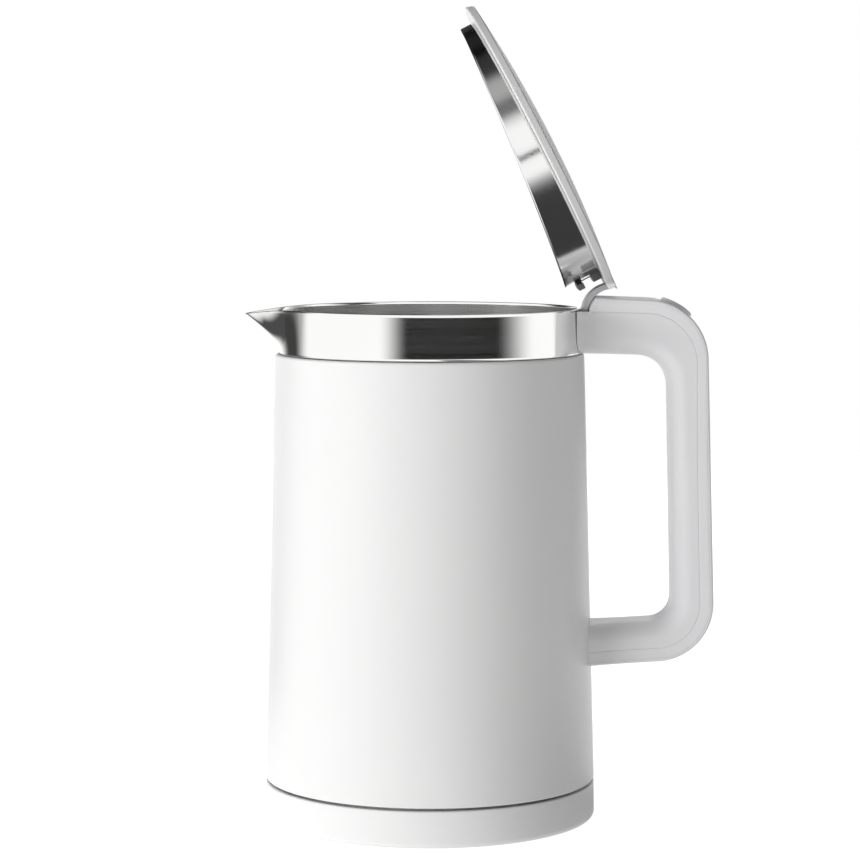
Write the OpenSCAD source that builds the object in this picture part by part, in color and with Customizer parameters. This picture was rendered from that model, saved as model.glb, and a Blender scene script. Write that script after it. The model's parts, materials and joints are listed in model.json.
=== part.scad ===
// Cordless electric kettle: power base, double-wall jug with a steel pot, C-shaped handle and sprung lid.
// Millimetres. The origin is on the jug's axis at table level, +Z is up, the handle points to +X
// and the spout to -X. The lid is drawn standing open.

/* [Power base] */
// Radius of the base near the table
base_r = 72.7; // [66:0.1:80]
// Height of the top of the base's rim above the table
base_top_z = 17.1; // [14:0.1:24]
// Height of the rubber feet below the base
foot_h = 1; // [0.8:0.1:3]
// Radius of a rubber foot
foot_r = 4.5; // [3:0.1:7]
// Wall thickness of the base's moulded shell
base_wall = 2.2; // [1.6:0.1:3]
// Radius of the round connector that the jug sits on
boss_r = 19; // [17:0.1:21]
// Bore of the cord inlet
cord_bore_r = 3.3; // [2.5:0.1:4]

/* [Jug body] */
// Radius of the outer body at its lower edge
body_low_r = 72.5; // [66:0.1:80]
// Radius of the outer body at its upper edge
body_top_r = 67.5; // [60:0.1:74]
// Height of the outer body's upper edge
body_top_z = 205.2; // [170:0.1:250]
// Visible gap between base and jug
seam_gap = 1.2; // [0.8:0.1:3]
// Wall thickness of the outer body
body_wall = 2.4; // [1.8:0.1:3.5]
// Air gap between the outer body and the pot
air_gap = 2.2; // [2.2:0.1:5]

/* [Steel pot] */
// Sheet thickness of the pot
pot_t = 1; // [0.8:0.1:1.5]
// Height of the underside of the pot's floor
pot_floor_z = 56; // [54:0.1:70]
// Height of the polished collar above the outer body
collar_h = 19.95; // [16:0.05:26]
// How far the collar is set back from the outer body's edge
collar_set = 1.5; // [0.5:0.1:2]
// How far the spout's tip stands out from the collar
spout_reach = 15.1; // [8:0.1:20]
// How far the spout's tip lies below the rim
spout_drop = 2.5; // [0:0.1:5]

/* [Handle] */
// Reach of the handle's outer face at its top bend
reach_top = 120.8; // [112:0.1:140]
// Reach of the handle's outer face at its lower bend
reach_low = 123.8; // [112:0.1:140]
// Width of the handle
handle_w = 30; // [26:0.5:36]
// Extra width on each side where the handle meets the jug
flare = 5.5; // [0:0.1:8]
// Thickness of the grip
grip_t = 16.9; // [15:0.1:22]
// Height of the underside of the lower arm
foot_low_z = 71; // [66:0.1:90]
// Height of the lower arm
foot_arm_h = 17.2; // [16:0.1:26]
// Distance of the seam between the two handle shells from the outer face
seam_in = 6; // [5:0.1:8]
// Wall thickness of the handle shells
handle_wall = 2.2; // [1.8:0.1:2.6]

/* [Lid] */
// Angle by which the lid stands open
open_angle = 62.8; // [40:0.1:75]
// Radius of the lid
lid_r = 68.1; // [60:0.1:74]
// Height of the lid's dome above its lower edge
lid_h = 7.6; // [6:0.05:14]
// Radius of the steel cup below the lid
cup_r = 60.5; // [54:0.1:62]
// Depth of the cup on the spout's side
cup_front = 6.4; // [4:0.1:10]
// Depth of the cup on the handle's side
cup_back = 16.6; // [10:0.1:17.5]
// Half of the width of the hinge arm
arm_half = 7.5; // [6:0.1:8]
// Radius of the hinge pin
pin_r = 2; // [1.5:0.1:2.2]

/* [Controls] */
// Travel of the lid release button
press = 2; // [1:0.1:2.2]
// Length of the lid release button along the handle
button_l = 15; // [12:0.1:17]
// Width of the lid release button
button_w = 12; // [9:0.1:13]
// Place of the lid release button around the top bend
button_angle = 59.5; // [56:0.5:63]
// Height of the boil button
boil_z = 118; // [112:0.5:140]
// Height of the keep-warm button
warm_z = 101; // [98:0.5:104]
// Radius of the boil and keep-warm buttons
key_r = 5; // [4:0.1:6]
// Travel of the boil and keep-warm buttons
key_press = 0.7; // [0.4:0.1:0.8]

/* [Hidden] */
$fn = 96;
fit = 0.05;             // clearance between pieces fixed to each other
slide_gap = 0.3;        // clearance of sliding pieces
far = 500;              // longer than any cut needs

jug_low_z = base_top_z + seam_gap;
deck_z = base_top_z - 1.1;                 // the deck that the jug stands on
deck_t = 2.2;
plate_z = foot_h + 2.2;                    // top of the base plate
base_screw_r = 58;
shank_r = 1.2;
head_r = 2.5;

boss_top_z = deck_z + 13;
socket_gap = 1.4;                          // between the base's connector and the jug's socket
skirt_r = boss_r + socket_gap + 3.2;       // outside of the jug's socket
cover_z = jug_low_z + 0.6;                 // underside of the jug's bottom cover
cover_t = 2.4;
socket_z = boss_top_z + 1;                 // roof of the jug's socket
connector_top_z = 44;
ring_radii = [8.1, 13.5];                  // outer radii of the jug's two contact rings
ring_t = 0.6;

function body_r(z) = body_low_r - (body_low_r - body_top_r) * (z - jug_low_z) / (body_top_z - jug_low_z);
function pot_r(z) = body_r(z) - body_wall - air_gap;
function gap_mid(z) = (pot_r(z) + body_r(z) - body_wall) / 2;   // middle of the air gap
rim_z = body_top_z + collar_h;
neck_z = body_top_z + 0.8;                 // where the collar's straight wall begins
collar_low_r = body_top_r - collar_set;
collar_top_r = collar_low_r - 0.4;
function collar_r(z) = collar_low_r - (collar_low_r - collar_top_r) * (z - neck_z) / (rim_z - neck_z);
floor_r = pot_r(pot_floor_z + 8) - 8;      // flat part of the pot's floor
plate_r = floor_r - 10.5;                  // heater plate
element_r = plate_r - 12;
tube_r = 3.6;
sleeve_r = floor_r - 4.5;                  // circle of the three jug screws
jug_screw_angles = [60, 180, 300];
plate_low_z = pot_floor_z - 3;

spout_half = 33;                           // half of the angle that the spout's flare takes up
// Share of the full reach at an angle from the spout's centre line: a rounded peak that dies out smoothly.
function beak(a) = exp(-pow((sqrt(a * a + 4) - 2) / 9.5, 1.25)) * max(0, 1 - pow(abs(a) / spout_half, 4));
function spout_r(a, t) = collar_r(neck_z + t * (rim_z - neck_z)) + spout_reach * beak(a) * pow(t, 1.5);
function spout_z(a, t) = neck_z + t * (rim_z - neck_z - spout_drop * beak(a));

hinge = [collar_top_r + 14.2, rim_z - 2.75];   // x and z of the lid's hinge axis
notch_r = 10.9;                            // round front of the handle's head
arm_in = notch_r + 0.4;
arm_out = arm_in + 2.4;
arm_gap = 0.4;                             // room beside and outside the arm
boss_in = 10.9;                            // inner faces of the pin's bosses
pin_boss_r = 4.4;
lid_z = rim_z + 0.3;                       // underside of the closed lid
lid_floor_t = 1.6;
lid_skin = 1.5;
band_top_z = lid_z + 3.3;
lid_top_z = lid_z + lid_h;
dome_rise = lid_top_z - band_top_z - 0.15;
dome_r = (pow(lid_r - 1.3, 2) + pow(dome_rise, 2)) / (2 * dome_rise);
function dome_z(r, inset) = lid_top_z - dome_r + sqrt(pow(dome_r - inset, 2) - r * r);
tongue_half = 14;                          // half of the width of the lid's rear tongue
cup_t = 0.8;
cup_top_z = lid_z - fit;
cup_tilt = atan((cup_back - cup_front) / (2 * cup_r));
cup_screw_r = cup_r - 4.5;
bar = [2.7, 22, 3];                        // the bar that the latch holds
bar_x = cup_r + 0.5;
bar_z = rim_z - 11.25;

head_top_z = rim_z + 4.1;
head_low_z = body_top_z + 0.9;
head_slope = 1.5;                          // the head's top falls by this much from its outline's start to the bend
root_x = body_top_r - 14;                  // the handle's outline starts inside the jug and is cut back to it
top_bend_r = 26.5;
low_bend_r = 25.4;
top_bend = [reach_top - top_bend_r, head_top_z - top_bend_r];
low_bend = [reach_low - low_bend_r, foot_low_z + low_bend_r];
top_in_r = 14.4;
low_in_r = 10;
top_in = [reach_top - grip_t + 0.1 - top_in_r, head_low_z - 1.1 - top_in_r];
low_in = [reach_low - grip_t - 0.85 - low_in_r, foot_low_z + foot_arm_h + low_in_r];
flare_x = [62, 88];                        // the handle widens between these places
function half_w(x) = handle_w / 2 + flare * pow(max(0, (flare_x[1] - x) / (flare_x[1] - flare_x[0])), 2);
function back_x(z) = reach_top + (reach_low - reach_top) * (top_bend.y - z) / (top_bend.y - low_bend.y);

fix_y = 10.8;                              // upper handle screws
fix_z = body_top_z + 5.3;
fix_x = 71.4;
low_fix_y = 9;
low_fix_z = foot_low_z + foot_arm_h / 2 - 1;
low_fix_x = body_r(low_fix_z) + 2.7;
cover_screw_x = low_bend.x - 12;           // screw between the two handle shells
pad_in = pot_r(low_fix_z) + 0.9;
pad_out = body_r(low_fix_z + 4) - body_wall - 0.1;

prong_y = [arm_half + 0.7, boss_in - 0.2];
prong_z = [bar_z + bar.z + 0.3, bar_z + bar.z + 2.7];
prong_tip_x = bar_x + bar.x + 0.4;
yoke_x = [hinge.x + 15, hinge.x + 24.2];
yoke_arm = 2.6;                            // thickness of the two arms between the prongs and the yoke
yoke_low_z = head_low_z + 1;
spring_rib_x = yoke_x[1] + 6.7;
latch_spring_r = 2.2;
latch_spring_z = yoke_low_z + latch_spring_r + 0.7;
stem_reach = 11.5;                         // from the handle's surface to the ramp
ramp_angle = button_angle / 2;             // makes the latch move as far as the button
ramp_at = top_bend + (top_bend_r - stem_reach) * [cos(button_angle), sin(button_angle)];
cap_low = top_bend_r - 3.5;                // radii about the top bend
cage_floor = top_bend_r - 8.1;

board_x = back_x(boil_z - 4) - 10.5;       // front face of the handle's circuit board
board_z = [warm_z - 11, boil_z + 13];
key_gap = key_press + slide_gap;
switch_h = 3.4;
guide_dz = key_r + 4;
control_z = cover_z + 15;                  // underside of the control board
control_half = 21;                         // half of the control board's width
control_x = [skirt_r + 3.4, sqrt(pow(body_r(control_z + 14) - body_wall, 2) - pow(control_half, 2)) - 3];
inlet_z = (plate_z + deck_z - deck_t) / 2;

// ---- shared shapes ----

function arc(c, r, from, to, n = 14) = [for (i = [0:n]) let (a = from + (to - from) * i / n) c + r * [cos(a), sin(a)]];
function reversed(v) = [for (i = [len(v) - 1:-1:0]) v[i]];

module ring(r_in, r_out, z0, z1) {
  translate([0, 0, z0])
    difference() {
      cylinder(r = r_out, h = z1 - z0);
      translate([0, 0, -1]) cylinder(r = r_in, h = z1 - z0 + 2);
    }
}

// A box centred on y = 0.
module block(x0, x1, w, z0, z1) {
  translate([x0, -w / 2, z0]) cube([x1 - x0, w, z1 - z0]);
}

// The same box on both sides, from |y| = y0 to y1.
module pair_of_blocks(x0, x1, y0, y1, z0, z1) {
  for (s = [-1, 1])
    translate([x0, s > 0 ? y0 : -y1, z0]) cube([x1 - x0, y1 - y0, z1 - z0]);
}

// An outline in x and z, extruded along y.
module side_extrude(points, w) {
  rotate([90, 0, 0]) linear_extrude(w, center = true) polygon(points);
}

module along_x(x0, x1, y, z, r) {
  translate([x0, y, z]) rotate([0, 90, 0]) cylinder(r = r, h = x1 - x0);
}

// A disc about the hinge axis.
module hinge_disc(r, w) {
  translate([hinge.x, 0, hinge.y]) rotate([90, 0, 0]) cylinder(r = r, h = w, center = true);
}

// Part of a ring about the hinge axis, between two angles from +X towards +Z.
module hinge_sector(r_in, r_out, w, from, to) {
  translate([hinge.x, 0, hinge.y]) rotate([90, 0, 0]) rotate([0, 0, from])
    rotate_extrude(angle = to - from) translate([r_in, -w / 2]) square([r_out - r_in, w]);
}

// A wedge between two angles.
module pie(from, to) polygon(concat([[0, 0]], arc([0, 0], 30, from, to, 6)));

// Moves the closed lid to where it stands open.
module lid_open() {
  translate([hinge.x, 0, hinge.y]) rotate([0, open_angle, 0]) translate([-hinge.x, 0, -hinge.y]) children();
}

// A coil spring with its axis on Z, from z = 0 to h.
module coil(r, wire, h, turns) {
  sides = 6;
  steps = 14;
  n = round(turns * steps);
  points = [for (i = [0:n], k = [0:sides - 1])
    let (a = 360 * i / steps, b = 360 * k / sides, q = r + wire * cos(b))
      [q * cos(a), q * sin(a), wire + (h - 2 * wire) * i / n + wire * sin(b)]];
  tube = [for (i = [0:n - 1], k = [0:sides - 1])
    let (k2 = (k + 1) % sides)
      [i * sides + k, (i + 1) * sides + k, (i + 1) * sides + k2, i * sides + k2]];
  polyhedron(points, concat(tube, [[for (k = [0:sides - 1]) k]], [[for (k = [sides - 1:-1:0]) n * sides + k]]));
}

// A pan-head screw that points to +Z, with the underside of its head at z = 0.
module screw(length, head_h = 1.6) {
  translate([0, 0, -0.5]) cylinder(r = shank_r, h = length + 0.5);
  translate([0, 0, -head_h]) cylinder(r = head_r, h = head_h);
}

module around(angles, r) {
  for (a = angles) rotate([0, 0, a]) translate([r, 0, 0]) children();
}

// A slot-shaped outline, l long in x and w wide in y.
module capsule(l, w) {
  square([l - w, w], center = true);
  for (s = [-1, 1]) translate([s * (l - w) / 2, 0]) circle(r = w / 2);
}

// Puts z = 0 at the centre of the top bend and +Z out through the lid button.
module button_place() {
  translate([top_bend.x, 0, top_bend.y]) rotate([0, 90 - button_angle, 0]) children();
}

// Half of space above the ramp between the lid button's stem and the latch.
module above_ramp(gap) {
  translate([ramp_at.x, 0, ramp_at.y]) rotate([0, -ramp_angle, 0]) translate([-far / 2, -far / 2, gap]) cube(far);
}

// ---- power base ----

base_screw_angles = [-20, 100, 220];
foot_angles = [-80, 40, 160];
connector_screw_r = boss_r + 3.4;

module base_shell() color("white") {
  corner = 3;
  inner_r = base_r - base_wall - 0.2;
  lip_r = base_r - corner - base_wall - 0.3;
  difference() {
    union() {
      rotate_extrude() polygon(concat(
        [[lip_r, foot_h]],
        arc([base_r - corner, foot_h + corner], corner, -90, 0, 6),
        [[body_low_r, base_top_z], [inner_r, base_top_z], [inner_r, deck_z], [boss_r + 0.6, deck_z],
         [boss_r + 0.6, deck_z - deck_t], [inner_r - 0.2, deck_z - deck_t], [inner_r - 0.2, plate_z + 2],
         [lip_r, plate_z + 0.3]]));
      around(base_screw_angles, base_screw_r) translate([0, 0, plate_z + fit]) cylinder(r = 3.2, h = deck_z - 1 - plate_z);
    }
    around(base_screw_angles, base_screw_r) translate([0, 0, plate_z]) cylinder(r = shank_r + fit, h = 9);
    around([0, 120, 240], connector_screw_r) translate([0, 0, deck_z - deck_t - 1]) cylinder(r = shank_r + fit, h = 2.7);
    translate([0, base_r - 9, inlet_z]) rotate([-90, 0, 0]) cylinder(r = cord_bore_r + 1.1 + fit, h = 20);
  }
}

module base_plate() color("whitesmoke")
  difference() {
    translate([0, 0, foot_h]) cylinder(r = base_r - 5.7, h = plate_z - foot_h);
    around(base_screw_angles, base_screw_r) {
      translate([0, 0, foot_h - 1]) cylinder(r = head_r + 0.3, h = 2.2);
      cylinder(r = shank_r + 0.2, h = far);
    }
    foot_places() cylinder(r = 2.5 + fit, h = foot_h + 1.5);
  }

// Three feet near the edge and one below the connector, which carries the jug.
module foot_places() {
  around(foot_angles, base_r - 10.7) children();
  children();
}

module base_feet() color("dimgray")
  foot_places() {
    cylinder(r = foot_r, h = foot_h);
    cylinder(r = 2.5, h = foot_h + 1.4);
  }

module base_connector() color("gainsboro")
  difference() {
    union() {
      translate([0, 0, deck_z - 8]) cylinder(r = boss_r, h = boss_top_z - deck_z + 7);
      translate([0, 0, boss_top_z - 1]) cylinder(r1 = boss_r, r2 = boss_r - 1, h = 1);
      translate([0, 0, deck_z - deck_t - 2.4 - fit]) cylinder(r = boss_r + 6, h = 2.4);
    }
    translate([0, 0, deck_z - 4]) cylinder(r = 4.2, h = far);
    for (r = ring_radii) ring(r - 1.3, r + 1.1, deck_z - 3, far);
    around([0, 120, 240], connector_screw_r) cylinder(r = shank_r + 0.2, h = far);
  }

module base_contacts() color("goldenrod") {
  ring(3.45, 4.15, deck_z - 3.9, deck_z + 8);
  for (r = ring_radii) ring(r + 0.4, r + 1.05, deck_z - 2.9, deck_z + 9);
}

module base_screws() color("silver")
  around(base_screw_angles, base_screw_r) translate([0, 0, foot_h + 1.2]) screw(9, 1.1);

module connector_screws() color("silver")
  around([0, 120, 240], connector_screw_r) translate([0, 0, deck_z - deck_t - 2.4 - 2 * fit]) screw(3.9);

module cord_gland() color("whitesmoke")
  translate([0, 0, inlet_z]) rotate([-90, 0, 0])
    difference() {
      union() {
        translate([0, 0, base_r - 9.5]) cylinder(r = cord_bore_r + 1.1, h = 9.1);
        translate([0, 0, base_r - 9.2]) cylinder(r = cord_bore_r + 1.7, h = 2.6);
      }
      cylinder(r = cord_bore_r, h = far);
    }

// ---- jug ----

module handle_fixing_holes(r) {
  for (y = [-low_fix_y, low_fix_y]) along_x(50, far, y, low_fix_z, r);
}

module outer_body() color("white") {
  edge = 1;
  ledge_z = cover_z + cover_t + 0.1;
  difference() {
    rotate_extrude() polygon(concat(
      [[body_low_r, jug_low_z]],
      arc([body_r(body_top_z - edge) - edge, body_top_z - edge], edge, 0, 90, 4),
      [[body_top_r - body_wall, body_top_z], [body_r(ledge_z + 2) - body_wall, ledge_z + 2],
       [body_low_r - 6, ledge_z + 2], [body_low_r - 6, ledge_z], [body_r(ledge_z) - body_wall, ledge_z],
       [body_low_r - body_wall, jug_low_z]]));
    handle_fixing_holes(1.5);
    along_x(50, far, 0, low_fix_z, 3);
  }
}

// The flared lip: a thin wall whose radius and height follow spout_r and spout_z.
module spout() {
  steps = 28;
  rows = 9;
  // closer together at the tip than at the sides; the first and last lie inside the collar's wall
  inner_angles = [for (i = [1:steps - 1]) let (u = 2 * (i - 1) / (steps - 2) - 1) spout_half * u * (0.35 + 0.65 * abs(u))];
  angles = concat([-spout_half - 1], inner_angles, [spout_half + 1]);
  // a little thinner than the collar, so that it meets the collar inside the wall
  outline = concat([for (t = [0:rows]) [t / rows, 0.15]], [for (t = [rows:-1:0]) [t / rows, pot_t - 0.15]]);
  m = len(outline);
  points = [for (a = angles, p = outline)
    let (r = spout_r(a, p[0]) - p[1], sunk = p[0] == 0 ? 0.1 : abs(a) > spout_half ? 0.15 : 0)
      [-r * cos(a), r * sin(a), spout_z(a, p[0]) - sunk]];
  walls = [for (i = [0:steps - 1], k = [0:m - 1])
    let (k2 = (k + 1) % m, a = i * m + k, b = i * m + k2, c = (i + 1) * m + k2, d = (i + 1) * m + k)
      each [[a, c, b], [a, d, c]]];
  // the two end faces, each a strip of triangles
  ends = [for (k = [0:rows - 1])
    let (a = k, b = k + 1, c = m - 2 - k, d = m - 1 - k, e = steps * m)
      each [[a, b, c], [a, c, d], [e + a, e + c, e + b], [e + a, e + d, e + c]]];
  polyhedron(points, concat(walls, ends));
}

module steel_pot() color("silver") {
  corner = 8;
  shoulder_z = body_top_z - 9;
  under_z = body_top_z + 0.1;
  step_r = body_top_r - body_wall - 0.3;
  corner_c = [pot_r(pot_floor_z + corner) - corner, pot_floor_z + corner];
  rotate_extrude() polygon(concat(
    [[0, pot_floor_z]],
    arc(corner_c, corner, -90, 0, 6),
    [[pot_r(shoulder_z), shoulder_z], [step_r, body_top_z - 1.5], [step_r, under_z], [collar_low_r - 0.4, under_z],
     [collar_low_r, neck_z], [collar_low_r - pot_t, neck_z], [step_r - pot_t, neck_z - 0.4],
     [step_r - pot_t, body_top_z - 1.2], [pot_r(shoulder_z) - pot_t, shoulder_z + 0.3]],
    reversed(arc(corner_c, corner - pot_t, -90, 0, 6)),
    [[0, pot_floor_z + pot_t]]));
  difference() {
    rotate([0, 0, 180.5 + spout_half]) rotate_extrude(angle = 359 - 2 * spout_half)
      polygon([[collar_low_r, neck_z], [collar_top_r, rim_z], [collar_top_r - pot_t, rim_z], [collar_low_r - pot_t, neck_z]]);
    pair_of_blocks(50, 90, prong_y[0] - slide_gap, prong_y[1] + slide_gap, prong_z[0] - slide_gap, prong_z[1] + slide_gap);
  }
  spout();
}

module pot_bracket() color("silver")
  difference() {
    union() {
      ring(plate_r + 2, floor_r - 1, pot_floor_z - 1.35, pot_floor_z - fit);
      around(jug_screw_angles, sleeve_r) translate([0, 0, pot_floor_z - 10]) cylinder(r = 3.4, h = 9);
    }
    around(jug_screw_angles, sleeve_r) cylinder(r = shank_r + fit, h = pot_floor_z - 1);
  }

module heater_plate() color("lightgray")
  translate([0, 0, plate_low_z]) cylinder(r = plate_r, h = pot_floor_z - fit - plate_low_z);

module heating_element() color("dimgray") {
  tube_z = plate_low_z - fit - tube_r;
  rotate([0, 0, 202]) rotate_extrude(angle = 316) translate([element_r, tube_z]) circle(r = tube_r, $fn = 32);
  around([158, 202], element_r) translate([0, 0, tube_z - 9]) cylinder(r = 2.4, h = 9);
}

module temperature_sensor() color("peru") {
  translate([0, 0, connector_top_z + fit]) cylinder(r = 3, h = plate_low_z - connector_top_z - 2 * fit);
  translate([0, 0, plate_low_z - 1.5 - fit]) cylinder(r = 6, h = 1.5);
}

module jug_connector() color("gainsboro") {
  roof_t = 2.5;
  difference() {
    union() {
      translate([0, 0, cover_z]) cylinder(r = skirt_r, h = socket_z + roof_t - cover_z);
      translate([0, 0, cover_z + cover_t + fit]) cylinder(r = skirt_r + 7, h = 2);
      translate([0, 0, socket_z]) cylinder(r = 17, h = connector_top_z - socket_z);
    }
    translate([0, 0, cover_z - 1]) cylinder(r = boss_r + socket_gap, h = socket_z - cover_z + 1);
    cylinder(r = 3 + fit, h = connector_top_z - 3);
    for (r = ring_radii) ring(r - ring_t - fit, r + fit, socket_z - 1, connector_top_z - 6);
  }
}

module jug_contacts() color("goldenrod") {
  translate([0, 0, deck_z - 0.5]) cylinder(r = 3, h = connector_top_z - 3 - fit - deck_z);
  for (r = ring_radii) ring(r - ring_t, r, deck_z, connector_top_z - 6 - fit);
}

module bottom_cover() color("gainsboro") {
  top_z = cover_z + cover_t;
  difference() {
    union() {
      ring(skirt_r + 0.15, body_r(top_z) - body_wall - 0.15, cover_z, top_z);
      ring(60, 63, deck_z, cover_z + 0.1);
      around(jug_screw_angles, sleeve_r) translate([0, 0, cover_z]) cylinder(r = 3.4, h = pot_floor_z - 10 - fit - cover_z);
      for (x = [control_x[0] + 4, control_x[1] - 4], y = [4 - control_half, control_half - 4])
        translate([x, y, cover_z]) cylinder(r = 2.2, h = control_z - fit - cover_z);
    }
    around(jug_screw_angles, sleeve_r) {
      translate([0, 0, cover_z - 1]) cylinder(r = head_r + 0.3, h = 2.7);
      cylinder(r = shank_r + 0.3, h = far);
    }
  }
}

module jug_screws() color("silver")
  around(jug_screw_angles, sleeve_r) translate([0, 0, cover_z + 1.7]) screw(pot_floor_z - 3 - cover_z);

module control_board() color("seagreen") {
  block(control_x[0], control_x[1], 2 * control_half, control_z, control_z + 1.6);
  block(control_x[1] - 20, control_x[1] - 6, 19, control_z + 1.5, control_z + 14);
  translate([control_x[0] + 6, 14, control_z + 1.5]) cylinder(r = 4, h = 9);
  translate([control_x[0] + 4, -19, control_z + 1.5]) cube([12, 9, 6]);
}

// A bundle of wires through the air gap and the handle's foot, past its screw and up to the handle's board.
module wire_harness() color("darkslategray") {
  wire_r = 0.9;
  beside = 5;
  route = [[control_x[1] - 3, 0, control_z + 1.6 + wire_r], [gap_mid(pot_floor_z - 6) - 0.2, 0, pot_floor_z - 6],
    [gap_mid(low_fix_z), 0, low_fix_z], [low_fix_x + 5.5, 0, low_fix_z],
    [cover_screw_x - 4, beside, low_fix_z], [cover_screw_x + 4, beside, low_fix_z],
    [cover_screw_x + 15, 2, low_fix_z + 1], [board_x - 3, 0, board_z[0] - 3], [board_x - 2.6, 0, board_z[0] + 1]];
  for (i = [0:len(route) - 2]) {
    p = route[i];
    q = route[i + 1];
    d = q - p;
    translate(p) rotate([0, acos(d.z / norm(d)), atan2(d.y, d.x)]) rotate(15 + 70 * i) cylinder(r = wire_r, h = norm(d), $fn = 24);
    translate(q) rotate([25, 40, 0]) sphere(r = wire_r + 0.2, $fn = 24);
  }
}

// ---- handle ----

// The outer edge of the handle from the head round to the foot, and the inner edge back, each set in by d.
function outer_edge(d) = concat([[root_x, head_top_z + head_slope - d]], arc(top_bend, top_bend_r - d, 90, 0),
  arc(low_bend, low_bend_r - d, 0, -90), [[root_x, foot_low_z - 2.7 + d]]);
function inner_edge(d) = concat([[root_x, foot_low_z + foot_arm_h - 2.5 - d]], arc(low_in, low_in_r + d, -90, 0, 8),
  arc(top_in, top_in_r + d, 0, 90), [[root_x, head_low_z + d]]);

// The space between the sides of the handle, set in by d.
module handle_sides(d) {
  xs = [root_x, 62, 66, 70, 74, 79, 84, 88, 150];
  side = [for (x = xs) [x, half_w(x) - d]];
  linear_extrude(2 * far, center = true) polygon(concat(side, reversed([for (p = side) [p.x, -p.y]])));
}

// The handle's outline between two edges, as wide as its sides allow.
module handle_zone(edge, sides) {
  intersection() {
    side_extrude(edge, 60);
    handle_sides(sides);
  }
}

// The jug's outside grown by d, which the handle is cut back to.
module jug_envelope(d) {
  translate([0, 0, jug_low_z]) cylinder(r1 = body_low_r + d, r2 = body_top_r + d, h = body_top_z - jug_low_z);
  translate([0, 0, body_top_z - 1]) cylinder(r = body_top_r + d, h = 1.1);
  translate([0, 0, body_top_z]) cylinder(r = collar_low_r + d, h = far);
}

module arm_room() hinge_disc(arm_out + arm_gap, 2 * (arm_half + arm_gap));

module latch_windows() {
  pair_of_blocks(root_x, hinge.x - 4, prong_y[0] - slide_gap, prong_y[1] + slide_gap, prong_z[0] - slide_gap, prong_z[1] + slide_gap);
}

module handle_inner() color("gainsboro") {
  shelf_z = prong_z[0] - slide_gap;
  difference() {
    union() {
      difference() {
        handle_zone(concat(outer_edge(seam_in + 0.1), inner_edge(0)), 0);
        difference() {
          handle_zone(concat(outer_edge(-5), inner_edge(handle_wall)), handle_wall);
          // the front walls and the ledge at the head's top stay
          jug_envelope(2.5);
          block(root_x, low_fix_x, 60, 60, 100);
          block(root_x, hinge.x - notch_r + 0.6, 60, head_top_z - seam_in - 2, far);
        }
      }
      intersection() {
        handle_sides(1);
        union() {
          block(fix_x - 2.3, fix_x, 60, head_low_z + 1, fix_z + 4.5);
          pair_of_blocks(fix_x + 2.5, yoke_x[0] - 2, prong_y[0] - 0.2, 30, shelf_z - 2, shelf_z);
          block(spring_rib_x, spring_rib_x + 1.5, 60, head_low_z - 3, latch_spring_z + latch_spring_r + 0.4);
        }
      }
      intersection() {
        handle_sides(handle_wall - 0.5);
        difference() {
          hinge_disc(pin_boss_r, 40);
          hinge_disc(pin_boss_r + 1, 2 * boss_in);
          block(0, far, 60, head_top_z - seam_in - 0.2, far);
        }
      }
      difference() {
        hinge_disc(pin_boss_r, 2 * (half_w(hinge.x) - handle_wall - 0.2));
        hinge_disc(pin_boss_r + 1, 2 * boss_in);
      }
      translate([cover_screw_x, 0, foot_low_z + 5]) cylinder(r = 3, h = foot_arm_h - 6);
      for (z = [board_z[0] + 5, board_z[1] - 5]) along_x(top_in.x + top_in_r + 1, board_x - 1.4 - fit, 0, z, 2.2);
    }
    jug_envelope(fit);
    arm_room();
    latch_windows();
    hinge_disc(pin_r + 0.01, 2 * (half_w(hinge.x) - handle_wall));
    // pocket for the bracket on the collar
    intersection() {
      jug_envelope(1.1);
      block(root_x, far, 31, fix_z - 4, fix_z + 4);
    }
    for (y = [-fix_y, fix_y]) {
      along_x(root_x, fix_x - 2.2, y, fix_z, 2.7);
      along_x(root_x, far, y, fix_z, shank_r + 0.2);
    }
    for (y = [-low_fix_y, low_fix_y]) along_x(root_x, low_fix_x + 1, y, low_fix_z, shank_r + 0.3);
    along_x(root_x, low_fix_x + 1, 0, low_fix_z, 3);
    translate([cover_screw_x, 0, foot_low_z]) cylinder(r = shank_r + fit, h = foot_arm_h - 4);
  }
}

module key_holes(r) {
  for (z = [boil_z, warm_z]) {
    along_x(back_x(z) - 5, far, 0, z, r);
    along_x(back_x(z) - 5, far, 0, z + guide_dz, 1.2 + fit);
  }
}

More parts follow.
